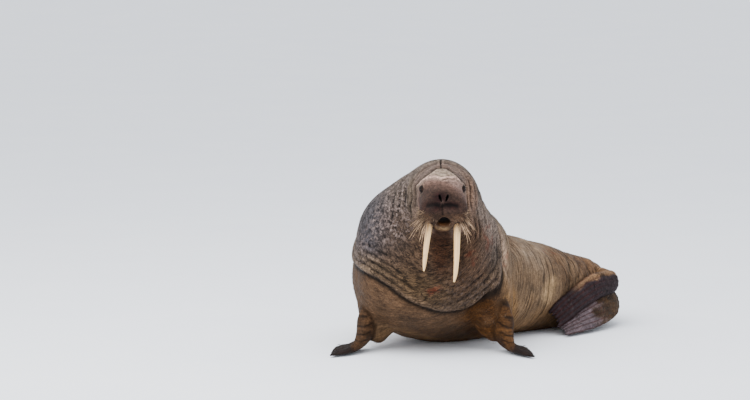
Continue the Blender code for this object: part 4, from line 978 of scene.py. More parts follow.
def flipper_grid(paddle, steps, around):
    """Rings across the paddle from root to tip, with wrinkles raised on them, and their own values."""
    psi = np.arange(around) * 2 * math.pi / around
    row = paddle.last * np.linspace(0, 1, steps) ** 0.9
    u, psi = np.meshgrid(row, psi, indexing="ij")
    v = np.cos(psi)
    h = np.sin(psi)
    point, normal, step, wave = paddle.at(u, v, h)
    share = u / paddle.last
    length = np.linalg.norm(np.diff((paddle.lead + paddle.trail) / 2, axis=0), axis=1).sum()
    wide = np.linalg.norm(spline(paddle.lead, u) - spline(paddle.trail, u), axis=-1)
    flow = np.stack([share * length + 4.0, v * wide / 2, h * 0.05], -1)
    warped = flow + 0.02 * noise(point * 14.0, 201)[..., None]
    cross = ridged(warped * np.array((46.0, 11.0, 11.0)), 2, 203)
    out = grid_normals(point)
    out = out * np.sign((out * normal * h[..., None]).sum())
    firm = smooth_step((1 - share) / 0.08) * smooth_step(share / 0.1)
    point = point + out * (0.0015 * cross * (h > -0.3) * firm)[..., None]
    point[..., 2] = np.maximum(point[..., 2], 0.0)
    return point, flow, share, v, h, wave, out


def flipper_tint(point, share, v, h, wave, root, tip, web, border):
    """Root colour at the body and along part of the leading edge, dark hide beyond, brown webs."""
    blot = layered(point * 16.0, 3, 211)
    tint = np.broadcast_to(root, point.shape).copy()
    edge = border[1] * smooth_step((v - 0.46 + 0.15 * blot) / 0.25) * (1 - smooth_step((share - 0.60) / 0.14))
    dark = smooth_step((share - border[0] + 0.08 * blot) / 0.12)
    tint = lay(tint, tip, dark * (1 - edge))
    tint = lay(tint, web, smooth_step(wave * 1.4 - 0.5) * smooth_step((share - 0.35) / 0.3) * (h > 0) * 0.8)
    tint = tint * (1 + (0.20 + 0.25 * (1 - dark)) * blot)[..., None]
    return np.clip(tint, 0.004, 1)


STEPS = 60
ACROSS = 80
FLIPPERS = {
    "fore_left": (Paddle(FORE_LEFT, 1, 5, 0.28, 0.022), hide_colour(92, 66, 46), hide_colour(50, 41, 38),
                  hide_colour(50, 38, 34), (0.42, 0.0)),
    "fore_right": (Paddle(FORE_RIGHT, -1, 5, 0.28, 0.022), hide_colour(92, 70, 54), hide_colour(50, 41, 38),
                   hide_colour(50, 38, 34), (0.42, 0.0)),
    "hind_left": (Paddle(HIND_LEFT, 1, 5, 0.25, 0.024, 0.030), hide_colour(150, 120, 96), hide_colour(62, 50, 53),
                  hide_colour(70, 38, 34), (0.10, 1.0)),
    "hind_right": (Paddle(HIND_RIGHT, 1, 5, 0.25, 0.024, 0.030), hide_colour(80, 62, 46), hide_colour(134, 120, 124),
                   hide_colour(74, 44, 38), (0.55, 0.0)),
    "tail": (Paddle(TAIL, 1, 1, 0.0, 0.0), hide_colour(118, 92, 74), hide_colour(104, 82, 68),
             hide_colour(104, 82, 68), (0.4, 0.0)),
}
for label, (paddle, *_) in FLIPPERS.items():
    print(label, "length", round(float(np.linalg.norm(np.diff((paddle.lead + paddle.trail) / 2, axis=0),
                                                      axis=1).sum()), 3), "m")

# %% [markdown]
# ## The skin as one surface
# The trunk, the flippers, the tail and the eyelids overlap as closed surfaces, and one union after
# another melts them into a single skin, so no seam shows. Where two surfaces meet, the union makes
# new points: these get their values from their neighbours, and the crease there is relaxed a little.

# %%
def ready(points, faces, flow, tint, mask):
    """Points, faces and the named values of one closed surface, poles filled from the last ring."""
    extra = len(points) - len(flow)
    if extra:
        flow = np.vstack([flow, np.repeat(flow[-1:], extra, 0)])
        tint = np.vstack([tint, np.repeat(tint[-1:], extra, 0)])
        mask = np.vstack([mask, np.repeat(mask[-1:], extra, 0)])
    one = np.ones((len(points), 1))
    return points, faces, {"flow": flow, "tint": np.hstack([tint, one]), "mask": mask, "known": one}


def body_surface():
    """The trunk's and head's grid with its poles."""
    points, faces = shell(SKIN, "fan", "fan", FRONT_POLE, BACK_POLE)
    girth = GIRTH[:, None] / (2 * math.pi)
    flow = np.stack([S, girth * np.cos(W), girth * np.sin(W)], -1).reshape(-1, 3)
    mask = np.stack([FLECK_AND_HIGHLIGHT, BARE, SORE, RINGED], -1).reshape(-1, 4)
    tint = TINT.reshape(-1, 3)
    count = AROUND
    flow = np.vstack([flow, flow[:count].mean(0), flow[-count:].mean(0)])
    tint = np.vstack([tint, tint[:count].mean(0), tint[-count:].mean(0)])
    mask = np.vstack([mask, mask[:count].mean(0), mask[-count:].mean(0)])
    points[-2] = SKIN[0].mean(0)
    points[-1] = SKIN[-1].mean(0)
    return ready(points, faces, flow, tint, mask)


def flipper_surface(label):
    """One flipper's grid, closed by strips at root and tip."""
    paddle, root, tip, web, border = FLIPPERS[label]
    point, flow, share, v, h, wave, _ = flipper_grid(paddle, STEPS, ACROSS)
    points, faces = shell(point, "strip", "strip")
    tint = flipper_tint(point, share, v, h, wave, root, tip, web, border).reshape(-1, 3)
    bare = smooth_step((share - 0.3) / 0.3)
    mask = np.stack([0 * bare, bare, 0 * bare, 1 - 0.74 * bare], -1).reshape(-1, 4)
    return ready(points, faces, flow.reshape(-1, 3), tint, mask)


def lid_surface(sign):
    """A soft ring round the eye: from the almond of the opening the section rises over the lid's
    edge, rolls down to the cheek and returns inside the head."""
    axes = head_axes()
    centre, look, flat, rise = (vector @ axes for vector in eye_side[sign])
    centre = centre + HEAD_AT
    q = np.arange(72) * 2 * math.pi / 72
    half_wide = 0.0148
    half_high = np.where(np.sin(q) > 0, 0.0098, 0.0086)
    margin = np.stack([half_wide * np.cos(q), half_high * np.sin(q)], -1)
    m = np.linalg.norm(margin, axis=-1)
    way = margin / m[:, None]
    top = np.sqrt(np.maximum(EYE_RADIUS**2 - m**2, 0.0))
    upper = smooth_step(np.sin(q) * 0.5 + 0.5)
    out = np.array((-0.0012, 0.0002, 0.0016, 0.0040, 0.0070, 0.0105, 0.0145, 0.0190, 0.0160, 0.0030))
    up = np.array((-0.0040, 0.0010, 0.0030, 0.0030, 0.0008, -0.0028, -0.0085, -0.0180, -0.0300, -0.0250))
    thick = 1.0 + 0.5 * upper
    section_out = m[:, None] + out[None, :]
    section_up = top[:, None] + np.where(up > 0, up[None, :] * thick[:, None], up[None, :])
    wrinkle = 0.0007 * np.sin(out * 2100.0)[None, :] * (0.4 + 0.6 * upper[:, None])
    section_up = section_up + wrinkle
    place = (centre + section_up[..., None] * look
             + section_out[..., None] * (way[:, None, :1] * flat + way[:, None, 1:] * rise))
    rows, around = place.shape[:2]
    index = np.arange(rows * around).reshape(rows, around)
    right = np.roll(index, -1, 0)
    faces = [np.stack([index, np.roll(index, -1, 1), np.roll(right, -1, 1), right], -1).reshape(-1, 4)]
    points = place.reshape(-1, 3)
    if volume(points, faces) < 0:
        faces = [group[:, ::-1] for group in faces]
    edge = hill(out - 0.001, 0.003)[None, :] + 0 * m[:, None]
    tint = lay(np.broadcast_to(hide_colour(44, 34, 29), place.shape).copy(), hide_colour(12, 8, 7), edge)
    flow = np.stack([place[..., 0] + 8, place[..., 1], place[..., 2]], -1)
    mask = np.stack([0 * edge, 0.2 + 0 * edge, 0 * edge, 0 * edge], -1)
    return ready(points, faces, flow.reshape(-1, 3), tint.reshape(-1, 3), mask.reshape(-1, 4))


def combine(item, other, operation):
    """Apply one Boolean to an object and take the other away."""
    change = item.modifiers.new("change", "BOOLEAN")
    change.operation = operation
    change.solver = "MANIFOLD"
    change.object = other
    graph = bpy.context.evaluated_depsgraph_get()
    mesh = bpy.data.meshes.new_from_object(item.evaluated_get(graph))
    item.modifiers.clear()
    old = item.data
    item.data = mesh
    bpy.data.meshes.remove(old)
    bpy.data.objects.remove(other, do_unlink=True)
    print("after", operation.lower(), len(mesh.vertices), "points")


def read_values(mesh, label, width):
    """A point value of a mesh as an array."""
    field = {1: "value", 3: "vector", 4: "color"}[width]
    array = np.zeros(len(mesh.vertices) * width, np.float32)
    mesh.attributes[label].data.foreach_get(field, array)
    return array.reshape(-1, width).astype(float)


skin = make_piece("skin", *body_surface())
for label in FLIPPERS:
    combine(skin, make_piece(label, *flipper_surface(label)), "UNION")
for sign in (1, -1):
    combine(skin, make_piece("lid", *lid_surface(sign)), "UNION")

# %% [markdown]
# ## Nostrils
# Each nostril is a slanting crescent that opens forward. A slit-shaped plug is taken out of the nose, which leaves a
# real hollow whose walls are painted near-black as painted shade.

# %%
def nostril_plug(sign):
    """A tube bent like a crescent: its section is a thin oval swept from front to back."""
    q = np.arange(32) * 2 * math.pi / 32
    across = 0.0064 * np.cos(q)
    high = 0.0235 * np.sin(q)
    across = across * (1 + 0.35 * np.sin(q))
    bend = sign * (0.0210 + 0.30 * high - 5.0 * high**2) - 0.005
    depth = np.linspace(0.26, 0.172, 10)
    shrink = np.clip((depth - 0.172) / 0.03, 0.15, 1.0) ** 0.5
    right = bend[None, :] + across[None, :] * shrink[:, None] * (1 + 0.3 * (depth > 0.20))[:, None]
    up = -0.028 + high[None, :] * shrink[:, None]
    local = np.stack([right, np.repeat(depth[:, None], 32, 1), up], -1)
    return shell(head_point(local), "fan", "fan")


for sign in (1, -1):
    points, faces = nostril_plug(sign)
    # Painted shade: the hollow's walls take the plug's near-black tint.
    dark = np.broadcast_to(hide_colour(16, 10, 9), points.shape)
    plug = make_piece("plug", *ready(points, faces, points + 8.0, dark, np.zeros((len(points), 4))))
    combine(skin, plug, "DIFFERENCE")


def mend(item):
    """Values of the unions' own points are means of their neighbours', and creases are relaxed."""
    mesh = item.data
    count = len(mesh.vertices)
    edges = np.zeros(len(mesh.edges) * 2, np.int64)
    mesh.edges.foreach_get("vertices", edges)
    a, b = edges.reshape(-1, 2).T
    known = read_values(mesh, "known", 1)[:, 0]
    values = np.hstack([read_values(mesh, "flow", 3), read_values(mesh, "tint", 4), read_values(mesh, "mask", 4)])
    fresh = known < 0.5
    print("points made by the unions:", int(fresh.sum()))
    for _ in range(6):
        weight = np.bincount(a, known[b], count) + np.bincount(b, known[a], count)
        total = np.stack([np.bincount(a, (known * values[:, n])[b], count)
                          + np.bincount(b, (known * values[:, n])[a], count) for n in range(values.shape[1])], -1)
        fill = fresh & (weight > 0)
        values[fill] = total[fill] / weight[fill, None]
        known = np.where(fill, 1.0, known)
    place = np.zeros(count * 3, np.float32)
    mesh.vertices.foreach_get("co", place)
    place = place.reshape(-1, 3).astype(float)
    near = fresh.astype(float)
    degree = np.bincount(a, minlength=count) + np.bincount(b, minlength=count)
    for _ in range(5):
        near = np.maximum(near, 0.82 * (np.bincount(a, near[b], count) + np.bincount(b, near[a], count)) / degree * 1.9)
        near = np.clip(near, 0, 1)
    head = smooth_step((head_local(place)[:, 1] + 0.1) / 0.05) * (place[:, 2] > 0.7)
    near = near * (1 - 0.75 * head)
    for _ in range(10):
        mean = np.stack([np.bincount(a, place[b, n], count) + np.bincount(b, place[a, n], count)
                         for n in range(3)], -1) / degree[:, None]
        place = place + (mean - place) * (0.5 * near)[:, None]
    place[:, 2] = np.maximum(place[:, 2], 0.0)
    write_values(mesh, {"flow": values[:, :3], "tint": values[:, 3:7], "mask": values[:, 7:11]})
    mesh.vertices.foreach_set("co", (place + SHIFT).astype(np.float32).ravel())
    mesh.polygons.foreach_set("use_smooth", np.ones(len(mesh.polygons), bool))
    mesh.attributes.remove(mesh.attributes["known"])
    mesh.update()
    return place


skin_place = mend(skin)
print("skin", len(skin.data.vertices), "points")

# %% [markdown]
# ## A short way to write materials
# A material is a small graph of nodes. This helper adds a node, fills its inputs with numbers or with
# other nodes' outputs, and gives back its output, so that a finish reads like a formula.

# %%
class Finish:
    """A principled material and short ways to add nodes to it."""

    def __init__(self, name, **sockets):
        self.material = bpy.data.materials.new(name)
        self.material.use_nodes = True
        self.tree = self.material.node_tree
        self.shader = self.tree.nodes["Principled BSDF"]
        self.place = self.node("ShaderNodeTexCoord").outputs["Object"]
        for label, value in sockets.items():
            self.shader.inputs[label.replace("_", " ")].default_value = value

    def node(self, kind, settings=None, inputs=None):
        """A node with its settings and inputs filled."""
        made = self.tree.nodes.new(kind)
        for label, value in (settings or {}).items():
            setattr(made, label, value)
        for label, value in (inputs or {}).items():
            self.feed(made.inputs[label], value)
        return made

    def feed(self, socket, value):
        """A link where the value is an output, a number otherwise."""
        if isinstance(value, bpy.types.NodeSocket):
            self.tree.links.new(value, socket)
        else:
            socket.default_value = value

    def put(self, label, value):
        """Feed one of the shader's own inputs."""
        self.feed(self.shader.inputs[label], value)

    def attribute(self, label, output="Vector"):
        """A value that the mesh carries."""
        return self.node("ShaderNodeAttribute", {"attribute_name": label}).outputs[output]

    def scaled(self, vector, scale):
        """The vector with each axis multiplied by its own number."""
        made = self.node("ShaderNodeVectorMath", {"operation": "MULTIPLY"}, {0: vector, 1: scale})
        return made.outputs[0]

    def maths(self, operation, a, b=0.0, clamp=False):
        """One sum of two numbers."""
        made = self.node("ShaderNodeMath", {"operation": operation, "use_clamp": clamp}, {0: a, 1: b})
        return made.outputs[0]

    def noise(self, vector, scale, detail=3.0, roughness=0.55, distortion=0.0):
        """Smooth noise from nought to one."""
        return self.node("ShaderNodeTexNoise", None, {"Vector": vector, "Scale": scale, "Detail": detail,
                                                      "Roughness": roughness,
                                                      "Distortion": distortion}).outputs["Fac"]

    def cell(self, vector, scale, feature="F1", output="Distance"):
        """Distance to cell points or to cell borders."""
        return self.node("ShaderNodeTexVoronoi", {"feature": feature},
                         {"Vector": vector, "Scale": scale}).outputs[output]

    def between(self, value, low, high, out_low=0.0, out_high=1.0):
        """The value carried smoothly from one range to another, and held outside it."""
        made = self.node("ShaderNodeMapRange", {"interpolation_type": "SMOOTHSTEP"},
                         {"Value": value, "From Min": low, "From Max": high,
                          "To Min": out_low, "To Max": out_high})
        return made.outputs["Result"]

    def blend(self, amount, a, b, kind="MIX"):
        """Two colours mixed by an amount."""
        made = self.node("ShaderNodeMix", {"data_type": "RGBA", "blend_type": kind})
        self.feed(made.inputs["Factor"], amount)
        for label, value in (("A", a), ("B", b)):
            socket = next(s for s in made.inputs if s.name == label and s.type == "RGBA")
            self.feed(socket, value)
        return next(s for s in made.outputs if s.type == "RGBA")

    def weigh(self, amount, a, b):
        """A number between two others."""
        made = self.node("ShaderNodeMix", {"data_type": "FLOAT"})
        for socket, value in zip([s for s in made.inputs if s.type == "VALUE"], (amount, a, b)):
            self.feed(socket, value)
        return made.outputs[0]

    def shade(self, colour, amount):
        """The colour times a number."""
        grey = self.node("ShaderNodeCombineColor", None, {0: amount, 1: amount, 2: amount}).outputs[0]
        return self.blend(1.0, colour, grey, "MULTIPLY")

    def bump(self, height, strength=1.0):
        """Height in metres turned into a bent normal."""
        made = self.node("ShaderNodeBump", None, {"Height": height, "Distance": 1.0, "Strength": strength})
        self.put("Normal", made.outputs[0])


def colour(*c):
    """A colour socket's four numbers from display values."""
    return (*[float(v) for v in srgb(*c)], 1.0)


def hide_socket(*c):
    """The same for a tone of the hide."""
    return (*[float(v) for v in hide_colour(*c)], 1.0)


# %% [markdown]
# ## The hide
# Walrus hide is thick, creased leather under sparse short hair. The tint comes with the mesh. Over it lie blotches,
# streaks around the rings, hairs along the body, small pale lumps on an old male's neck and shoulders (partly pale
# hide, partly painted highlight), and a net of fine cracks; the same patterns raise the bump. The creases and cracks
# are also darkened in the colour as painted shade.

# %%
hide = Finish("walrus_hide", Roughness=0.75, Specular_IOR_Level=0.10)
flow = hide.attribute("flow")
tint = hide.attribute("tint", "Color")
parts = hide.node("ShaderNodeSeparateColor", None, {"Color": hide.attribute("mask", "Color")}).outputs
fleck_and_highlight_mask, bare_mask, sore_mask = parts[0], parts[1], parts[2]
furred = hide.maths("SUBTRACT", 1.0, bare_mask)


def lines(vector, scale, width):
    """One where noise passes through its middle, fading within a width."""
    value = hide.noise(hide.scaled(vector, scale), 1.0, 2.0, 0.5, 0.2)
    away = hide.maths("ABSOLUTE", hide.maths("SUBTRACT", value, 0.5))
    return hide.between(away, 0.0, width, 1.0, 0.0)


ringed = hide.attribute("mask", "Alpha")
off_face = hide.between(ringed, 0.0, 0.48)
on_trunk = hide.between(ringed, 0.55, 0.95)
on_neck = hide.maths("SUBTRACT", off_face, on_trunk, True)
on_face = hide.maths("SUBTRACT", 1.0, off_face)
blotch = hide.noise(hide.place, 7.0, 6.0, 0.62)
long_streak = hide.noise(hide.scaled(flow, (64.0, 7.0, 7.0)), 1.0, 4.0, 0.6, 0.25)
short_streak = hide.noise(hide.scaled(flow, (84.0, 34.0, 34.0)), 1.0, 5.0, 0.66, 0.6)
face_cloud = hide.noise(hide.scaled(hide.place, (60.0, 60.0, 110.0)), 1.0, 5.0, 0.6, 0.3)
along = hide.node("ShaderNodeSeparateXYZ", None, {0: flow}).outputs[0]
drift = hide.noise(hide.scaled(flow, (1.7, 1.3, 1.3)), 1.0, 3.0, 0.5)
phase = hide.maths("ADD", hide.maths("MULTIPLY", along, 23.0), hide.maths("MULTIPLY", drift, 9.0))
arc = hide.between(hide.maths("PINGPONG", phase, 0.5), 0.0, 0.26, 1.0, 0.0)
arc_part = hide.between(hide.noise(hide.scaled(flow, (9.0, 4.2, 4.2)), 1.0, 3.0, 0.6), 0.42, 0.60, 0.05, 1.0)
arc = hide.maths("MULTIPLY", hide.maths("MULTIPLY", arc, arc_part), hide.between(ringed, 0.74, 0.98, 0.1, 1.0))
streak = hide.weigh(on_trunk, hide.weigh(off_face, face_cloud, short_streak), long_streak)
crease = hide.maths("ADD", arc,
                    hide.maths("MULTIPLY", lines(flow, (52.0, 15.0, 15.0), 0.045), on_neck))
small_crease = hide.maths("ADD", hide.maths("MULTIPLY", lines(flow, (80.0, 5.0, 5.0), 0.05), on_trunk),
                          hide.maths("MULTIPLY", lines(flow, (120.0, 44.0, 44.0), 0.06), on_neck))
brow_crease = hide.maths("MULTIPLY", hide.maths("MULTIPLY", lines(hide.place, (16.0, 16.0, 120.0), 0.05), on_face), furred)
small_crease = hide.maths("ADD", small_crease, hide.maths("MULTIPLY", brow_crease, 0.8), True)
hair = hide.noise(hide.scaled(flow, (60.0, 420.0, 420.0)), 1.0, 3.0, 0.6, 0.3)
crack = hide.cell(hide.scaled(flow, (74.0, 58.0, 58.0)), 1.0, "DISTANCE_TO_EDGE")
pore = hide.cell(hide.place, 190.0, "DISTANCE_TO_EDGE")
net = hide.weigh(off_face, hide.between(pore, 0.0, 0.10, 0.6, 0.0), hide.between(crack, 0.0, 0.14, 1.0, 0.0))
scuff = hide.between(hide.noise(hide.place, 48.0, 4.0, 0.64), 0.515, 0.555)
fleck_and_highlight = hide.maths("MULTIPLY", scuff, fleck_and_highlight_mask)
grain = hide.noise(hide.place, 260.0, 2.0, 0.6)
base = hide.shade(tint, hide.between(blotch, 0.32, 0.68, 0.80, 1.20))
base = hide.shade(base, hide.weigh(on_trunk, hide.between(streak, 0.30, 0.70, 0.56, 1.52), hide.between(streak, 0.30, 0.70, 0.78, 1.24)))
base = hide.shade(base, hide.between(hair, 0.30, 0.72, 0.76, 1.26))
mottle = hide.noise(hide.scaled(flow, (46.0, 30.0, 30.0)), 1.0, 5.0, 0.7, 0.4)
base = hide.shade(base, hide.weigh(furred, 1.0, hide.between(mottle, 0.30, 0.70, 0.74, 1.28)))
# Painted shade: the crease lines, the small creases and the crack net darken the colour.
base = hide.shade(base, hide.between(crease, 0.0, 1.0, 1.13, 0.42))
base = hide.shade(base, hide.between(small_crease, 0.0, 1.0, 1.06, 0.60))
base = hide.shade(base, hide.between(net, 0.0, 1.0, 1.04, 0.74))
# Pale flecks on the lumps: partly pigment they have lost, partly painted highlight.
base = hide.blend(hide.maths("MULTIPLY", fleck_and_highlight, 0.92), base, hide_socket(222, 200, 192))
raw = hide.between(hide.noise(hide.scaled(flow, (150.0, 70.0, 70.0)), 1.0, 4.0, 0.7), 0.46, 0.62)
base = hide.blend(hide.maths("MULTIPLY", hide.maths("MULTIPLY", raw, sore_mask), 0.5), base, hide_socket(146, 74, 62))
scratch = hide.maths("MULTIPLY", lines(hide.place, (7.0, 9.0, 11.0), 0.004), off_face)
scratch = hide.maths("MULTIPLY", scratch, hide.between(hide.noise(hide.place, 4.0, 2.0), 0.50, 0.60))
base = hide.blend(hide.maths("MULTIPLY", scratch, 0.22), base, hide_socket(206, 186, 170))
hide.put("Base Color", base)
height = hide.maths("MULTIPLY", streak, hide.weigh(off_face, 0.0012, 0.0032))
for part, amount in ((crease, -0.0036), (small_crease, -0.0015), (net, -0.0008), (fleck_and_highlight, 0.0016), (grain, 0.0002)):
    height = hide.maths("ADD", height, hide.maths("MULTIPLY", part, amount))
height = hide.maths("ADD", height, hide.maths("MULTIPLY", hide.maths("MULTIPLY", hair, furred), 0.0008))
hide.bump(height)
hide.put("Roughness", hide.maths("SUBTRACT", hide.between(blotch, 0.3, 0.7, 0.66, 0.80),
                                 hide.maths("MULTIPLY", bare_mask, 0.06)))
skin.data.materials.clear()
skin.data.materials.append(hide.material)
print("hide nodes", len(hide.tree.nodes))

# %% [markdown]
# ## Eyes
# A walrus's eye is small, dark brown and slightly bulging, with a low cornea over the iris. The ball
# is a globe whose front is pushed out a little; the angle from its axis colours pupil, iris and white.

# %%
def eyeball(sign):
    """Rings about the eye's axis: radius times sine and cosine, with a bell pushed out at the front."""
    axes = head_axes()
    centre, look, flat, rise = (vector @ axes for vector in eye_side[sign])
    centre = centre + HEAD_AT
    angle = np.linspace(0.03, math.pi - 0.1, 34)
    q = np.arange(48) * 2 * math.pi / 48
    far = EYE_RADIUS + 0.0011 * hill(angle, 0.42)
    ring = np.cos(q)[:, None] * flat + np.sin(q)[:, None] * rise
    grid = centre + far[:, None, None] * (np.sin(angle)[:, None, None] * ring[None] + np.cos(angle)[:, None, None] * look)
    points, faces = shell(grid, "fan", "fan")
    turn = np.concatenate([np.repeat(angle, 48), [0.0, math.pi]])
    return points, faces, turn


eye_finish = Finish("walrus_eye", Roughness=0.12, IOR=1.34, Specular_IOR_Level=0.14)
turn = eye_finish.attribute("turn", "Fac")
fibre = eye_finish.noise(eye_finish.place, 900.0, 3.0)
iris = eye_finish.blend(eye_finish.between(fibre, 0.3, 0.7), colour(18, 10, 7), colour(44, 26, 16))
white = eye_finish.blend(eye_finish.noise(eye_finish.place, 300.0, 4.0), colour(40, 24, 20), colour(78, 50, 42))
paint = eye_finish.blend(eye_finish.between(turn, 0.27, 0.31), colour(4, 3, 3), iris)
paint = eye_finish.blend(eye_finish.between(turn, 0.52, 0.60), paint, colour(18, 12, 10))
paint = eye_finish.blend(eye_finish.between(turn, 0.66, 0.80), paint, white)
eye_finish.put("Base Color", paint)
eyes = {}
for side, sign in (("left", 1), ("right", -1)):
    points, faces, angle = eyeball(sign)
    eyes[side] = make_piece("eyeball_" + side, points + SHIFT, faces, {"turn": angle[:, None]})
    eyes[side].data.materials.append(eye_finish.material)

# %% [markdown]
# ## Tusks
# Tusks are long upper canines: oval in section, with shallow grooves along them, stained at the lip
# and worn to a rounded tip. The section is carried along a curve through a few knots.

# %%
TUSK_RADIUS = 0.0245
TUSK_CURVES = {
    "left": ((0.088, 0.095, -0.150), (0.086, 0.105, -0.212), (0.085, 0.112, -0.300),
             (0.083, 0.113, -0.400), (0.078, 0.108, -0.500), (0.070, 0.100, -0.562)),
    "right": ((-0.078, 0.095, -0.150), (-0.084, 0.105, -0.212), (-0.097, 0.112, -0.290),
              (-0.107, 0.113, -0.370), (-0.113, 0.109, -0.440), (-0.117, 0.104, -0.492)),
}


def tusk(label, scale, rows=96, around=44):
    """Radius times one, less a tenth of the share, less 0.62 of its power 3.2; grooves take a little."""
    knots = head_point(np.array(TUSK_CURVES[label]))
    share = np.linspace(0, 1, rows)
    path = spline(knots, share * (len(knots) - 1))
    along = unit(np.gradient(path, axis=0))
    side = np.array((0.0, 1.0, 0.0))
    x = unit(side - along * (along @ side)[:, None])
    y = np.cross(along, x)
    q = np.arange(around) * 2 * math.pi / around
    groove = 0.035 * hill(((q - 1.4) + math.pi) % (2 * math.pi) - math.pi, 0.16) + 0.02 * hill(q - 4.4, 0.12)
    groove = groove + 0.016 * hill(q - 2.9, 0.10)
    radius = scale * (1.0 - 0.10 * share - 0.62 * share**3.2)
    lumps = 1 - groove[None, :] * (1 - share[:, None]) + 0.006 * noise(
        np.stack([np.cos(q)[None, :] * 3 + 0 * share[:, None], np.sin(q)[None, :] * 3 + 0 * share[:, None],
                  share[:, None] * 9 + 0 * q[None, :]], -1), 301)
    r = radius[:, None] * lumps
    grid = path[:, None, :] + r[..., None] * (np.cos(q)[None, :, None] * x[:, None, :]
                                              + 0.86 * np.sin(q)[None, :, None] * y[:, None, :])
    pole = path[-1] + along[-1] * radius[-1] * 0.6
    round_steps = np.array((0.35, 0.62, 0.82, 0.94))
    cap = []
    for s in round_steps:
        shrink = math.sqrt(1 - s * s)
        cap.append(path[-1] + along[-1] * radius[-1] * 0.6 * s + (grid[-1] - path[-1]) * shrink)
    grid = np.concatenate([grid, np.array(cap)])
    points, faces = shell(grid, "fan", "fan", path[0] - along[0] * radius[0] * 0.3, pole)
    full = np.concatenate([share, np.ones(len(cap))])
    line = np.stack(np.broadcast_arrays(full[:, None], np.cos(q)[None, :], np.sin(q)[None, :]), -1).reshape(-1, 3)
    line = np.vstack([line, (0, 0, 0), (1, 0, 0)])
    return points, faces, line


ivory = {}
for side, warm in (("left", 0.25), ("right", 0.75)):
    made = Finish("tusk_ivory_" + side, Roughness=0.34, IOR=1.5, Subsurface_Weight=0.0)
    line = made.attribute("line")
    share = made.node("ShaderNodeSeparateXYZ", None, {0: line}).outputs[0]
    long_noise = made.noise(made.scaled(line, (2.2, 5.5, 5.5)), 1.0, 5.0, 0.65, 0.3)
    fine_line = made.noise(made.scaled(line, (3.0, 22.0, 22.0)), 1.0, 3.0, 0.6)
    cloud = made.noise(made.place, 28.0, 4.0)
    cream = made.blend(made.between(long_noise, 0.35, 0.68), colour(255, 216, 154), colour(230, 178, 114))
    cream = made.blend(warm * 0.5, cream, colour(206, 172, 124))
    stain = made.between(made.maths("ADD", share, made.maths("MULTIPLY", cloud, 0.16)), 0.20, 0.46, 1.0, 0.0)
    cream = made.blend(made.maths("MULTIPLY", stain, 0.75), cream, colour(158, 112, 66))
    cracks = made.between(fine_line, 0.60, 0.70)
    cream = made.blend(made.maths("MULTIPLY", cracks, 0.45), cream, colour(142, 106, 72))
    dirt = made.between(cloud, 0.56, 0.74, 0.0, 0.30)
    made.put("Base Color", made.blend(dirt, cream, colour(132, 100, 74)))
    made.put("Roughness", made.between(long_noise, 0.3, 0.7, 0.28, 0.46))
    made.bump(made.maths("MULTIPLY", made.maths("ADD", fine_line, long_noise), -0.0007))
    ivory[side] = made
tusks = {}
for side, scale in (("left", TUSK_RADIUS), ("right", TUSK_RADIUS * 0.92)):
    points, faces, line = tusk(side, scale)
    tusks[side] = make_piece("tusk_fine_" + side, points + SHIFT, faces, {"line": line})
    tusks[side].data.materials.append(ivory[side].material)
    print("tusk", side, "drop", round(float(np.ptp(points[:, 2])), 3), "m")

# %% [markdown]
# ## Claws
# The fore flipper's claws are small and blunt, set back from the edge; on the hind flipper the middle
# three are longer. Each is a bent, flattened horn that rises from the digit it sits on.

# %%
def claw(paddle, u, v, size):
    """A flattened cone bent over the digit: width falls with the root of the share left."""
    u = np.array([u])
    v = np.array([v])
    base, normal, step, _ = paddle.at(u, v, np.sqrt(1 - v * v) * 0 + 1.0)
    side = unit(np.cross(normal, step))
    share = np.linspace(0, 1, 12)
    q = np.arange(14) * 2 * math.pi / 14
    spine = base + step * ((share[:, None] - 0.25) * size) + normal * (
        0.16 * size * np.sin(share * math.pi * 0.8) - 0.10 * size * share - 0.04 * size)[:, None]
    wide = 0.20 * size * (1 - share**1.6 * 0.92) * smooth_step(share / 0.12 + 0.5)
    grid = spine[:, None, :] + wide[:, None, None] * (np.cos(q)[None, :, None] * side[:, None, :]
                                                      + 0.62 * np.sin(q)[None, :, None] * normal[:, None, :])
    return shell(grid, "fan", "fan")


CLAWS = []
for label in ("fore_left", "fore_right"):
    for v in (-0.78, -0.4, 0.0, 0.4, 0.78):
        CLAWS.append((label, 5.7 - 0.25 * abs(v), v, 0.020))
for label in ("hind_left", "hind_right"):
    for v, size in ((-0.78, 0.010), (-0.4, 0.021), (0.0, 0.023), (0.4, 0.021), (0.78, 0.010)):
        CLAWS.append((label, 6.2, v, size))
horn = Finish("claw_horn", Roughness=0.55, Specular_IOR_Level=0.2)
streaks = horn.noise(horn.place, 240.0, 3.0)
horn.put("Base Color", horn.blend(streaks, colour(22, 17, 16), colour(54, 44, 38)))
horn.bump(horn.maths("MULTIPLY", streaks, 0.0003))
claw_points, claw_faces = joined([claw(FLIPPERS[label][0], u, v, size) for label, u, v, size in CLAWS])
claws = make_piece("claws", claw_points + SHIFT, claw_faces)
claws.data.materials.append(horn.material)
print("claws", len(CLAWS))

# %% [markdown]
# ## Whiskers
# Over four hundred stout bristles stand on the two pads. Short ones near the middle and over the tusks grow
# into long ones at the lower corners. Each is a tapered five-sided rod bent downwards, and all are
# made at once from arrays of roots, directions and lengths.

# %%
def root_places(count, keep, seed):
    """Places drawn by chance from a mask of the grid: a cell each, and how far into it."""
    dice = np.random.default_rng(seed)
    area = np.sin(PHI) * RADIUS**2 * keep * np.repeat(ROW_STEP[:, None], AROUND, 1)
    pick = dice.choice(area.size, size=count, p=(area / area.sum()).ravel())
    row, column = np.divmod(pick, AROUND)
    return (np.minimum(row, len(t_line) - 2), column, dice.random(count), dice.random(count)), dice


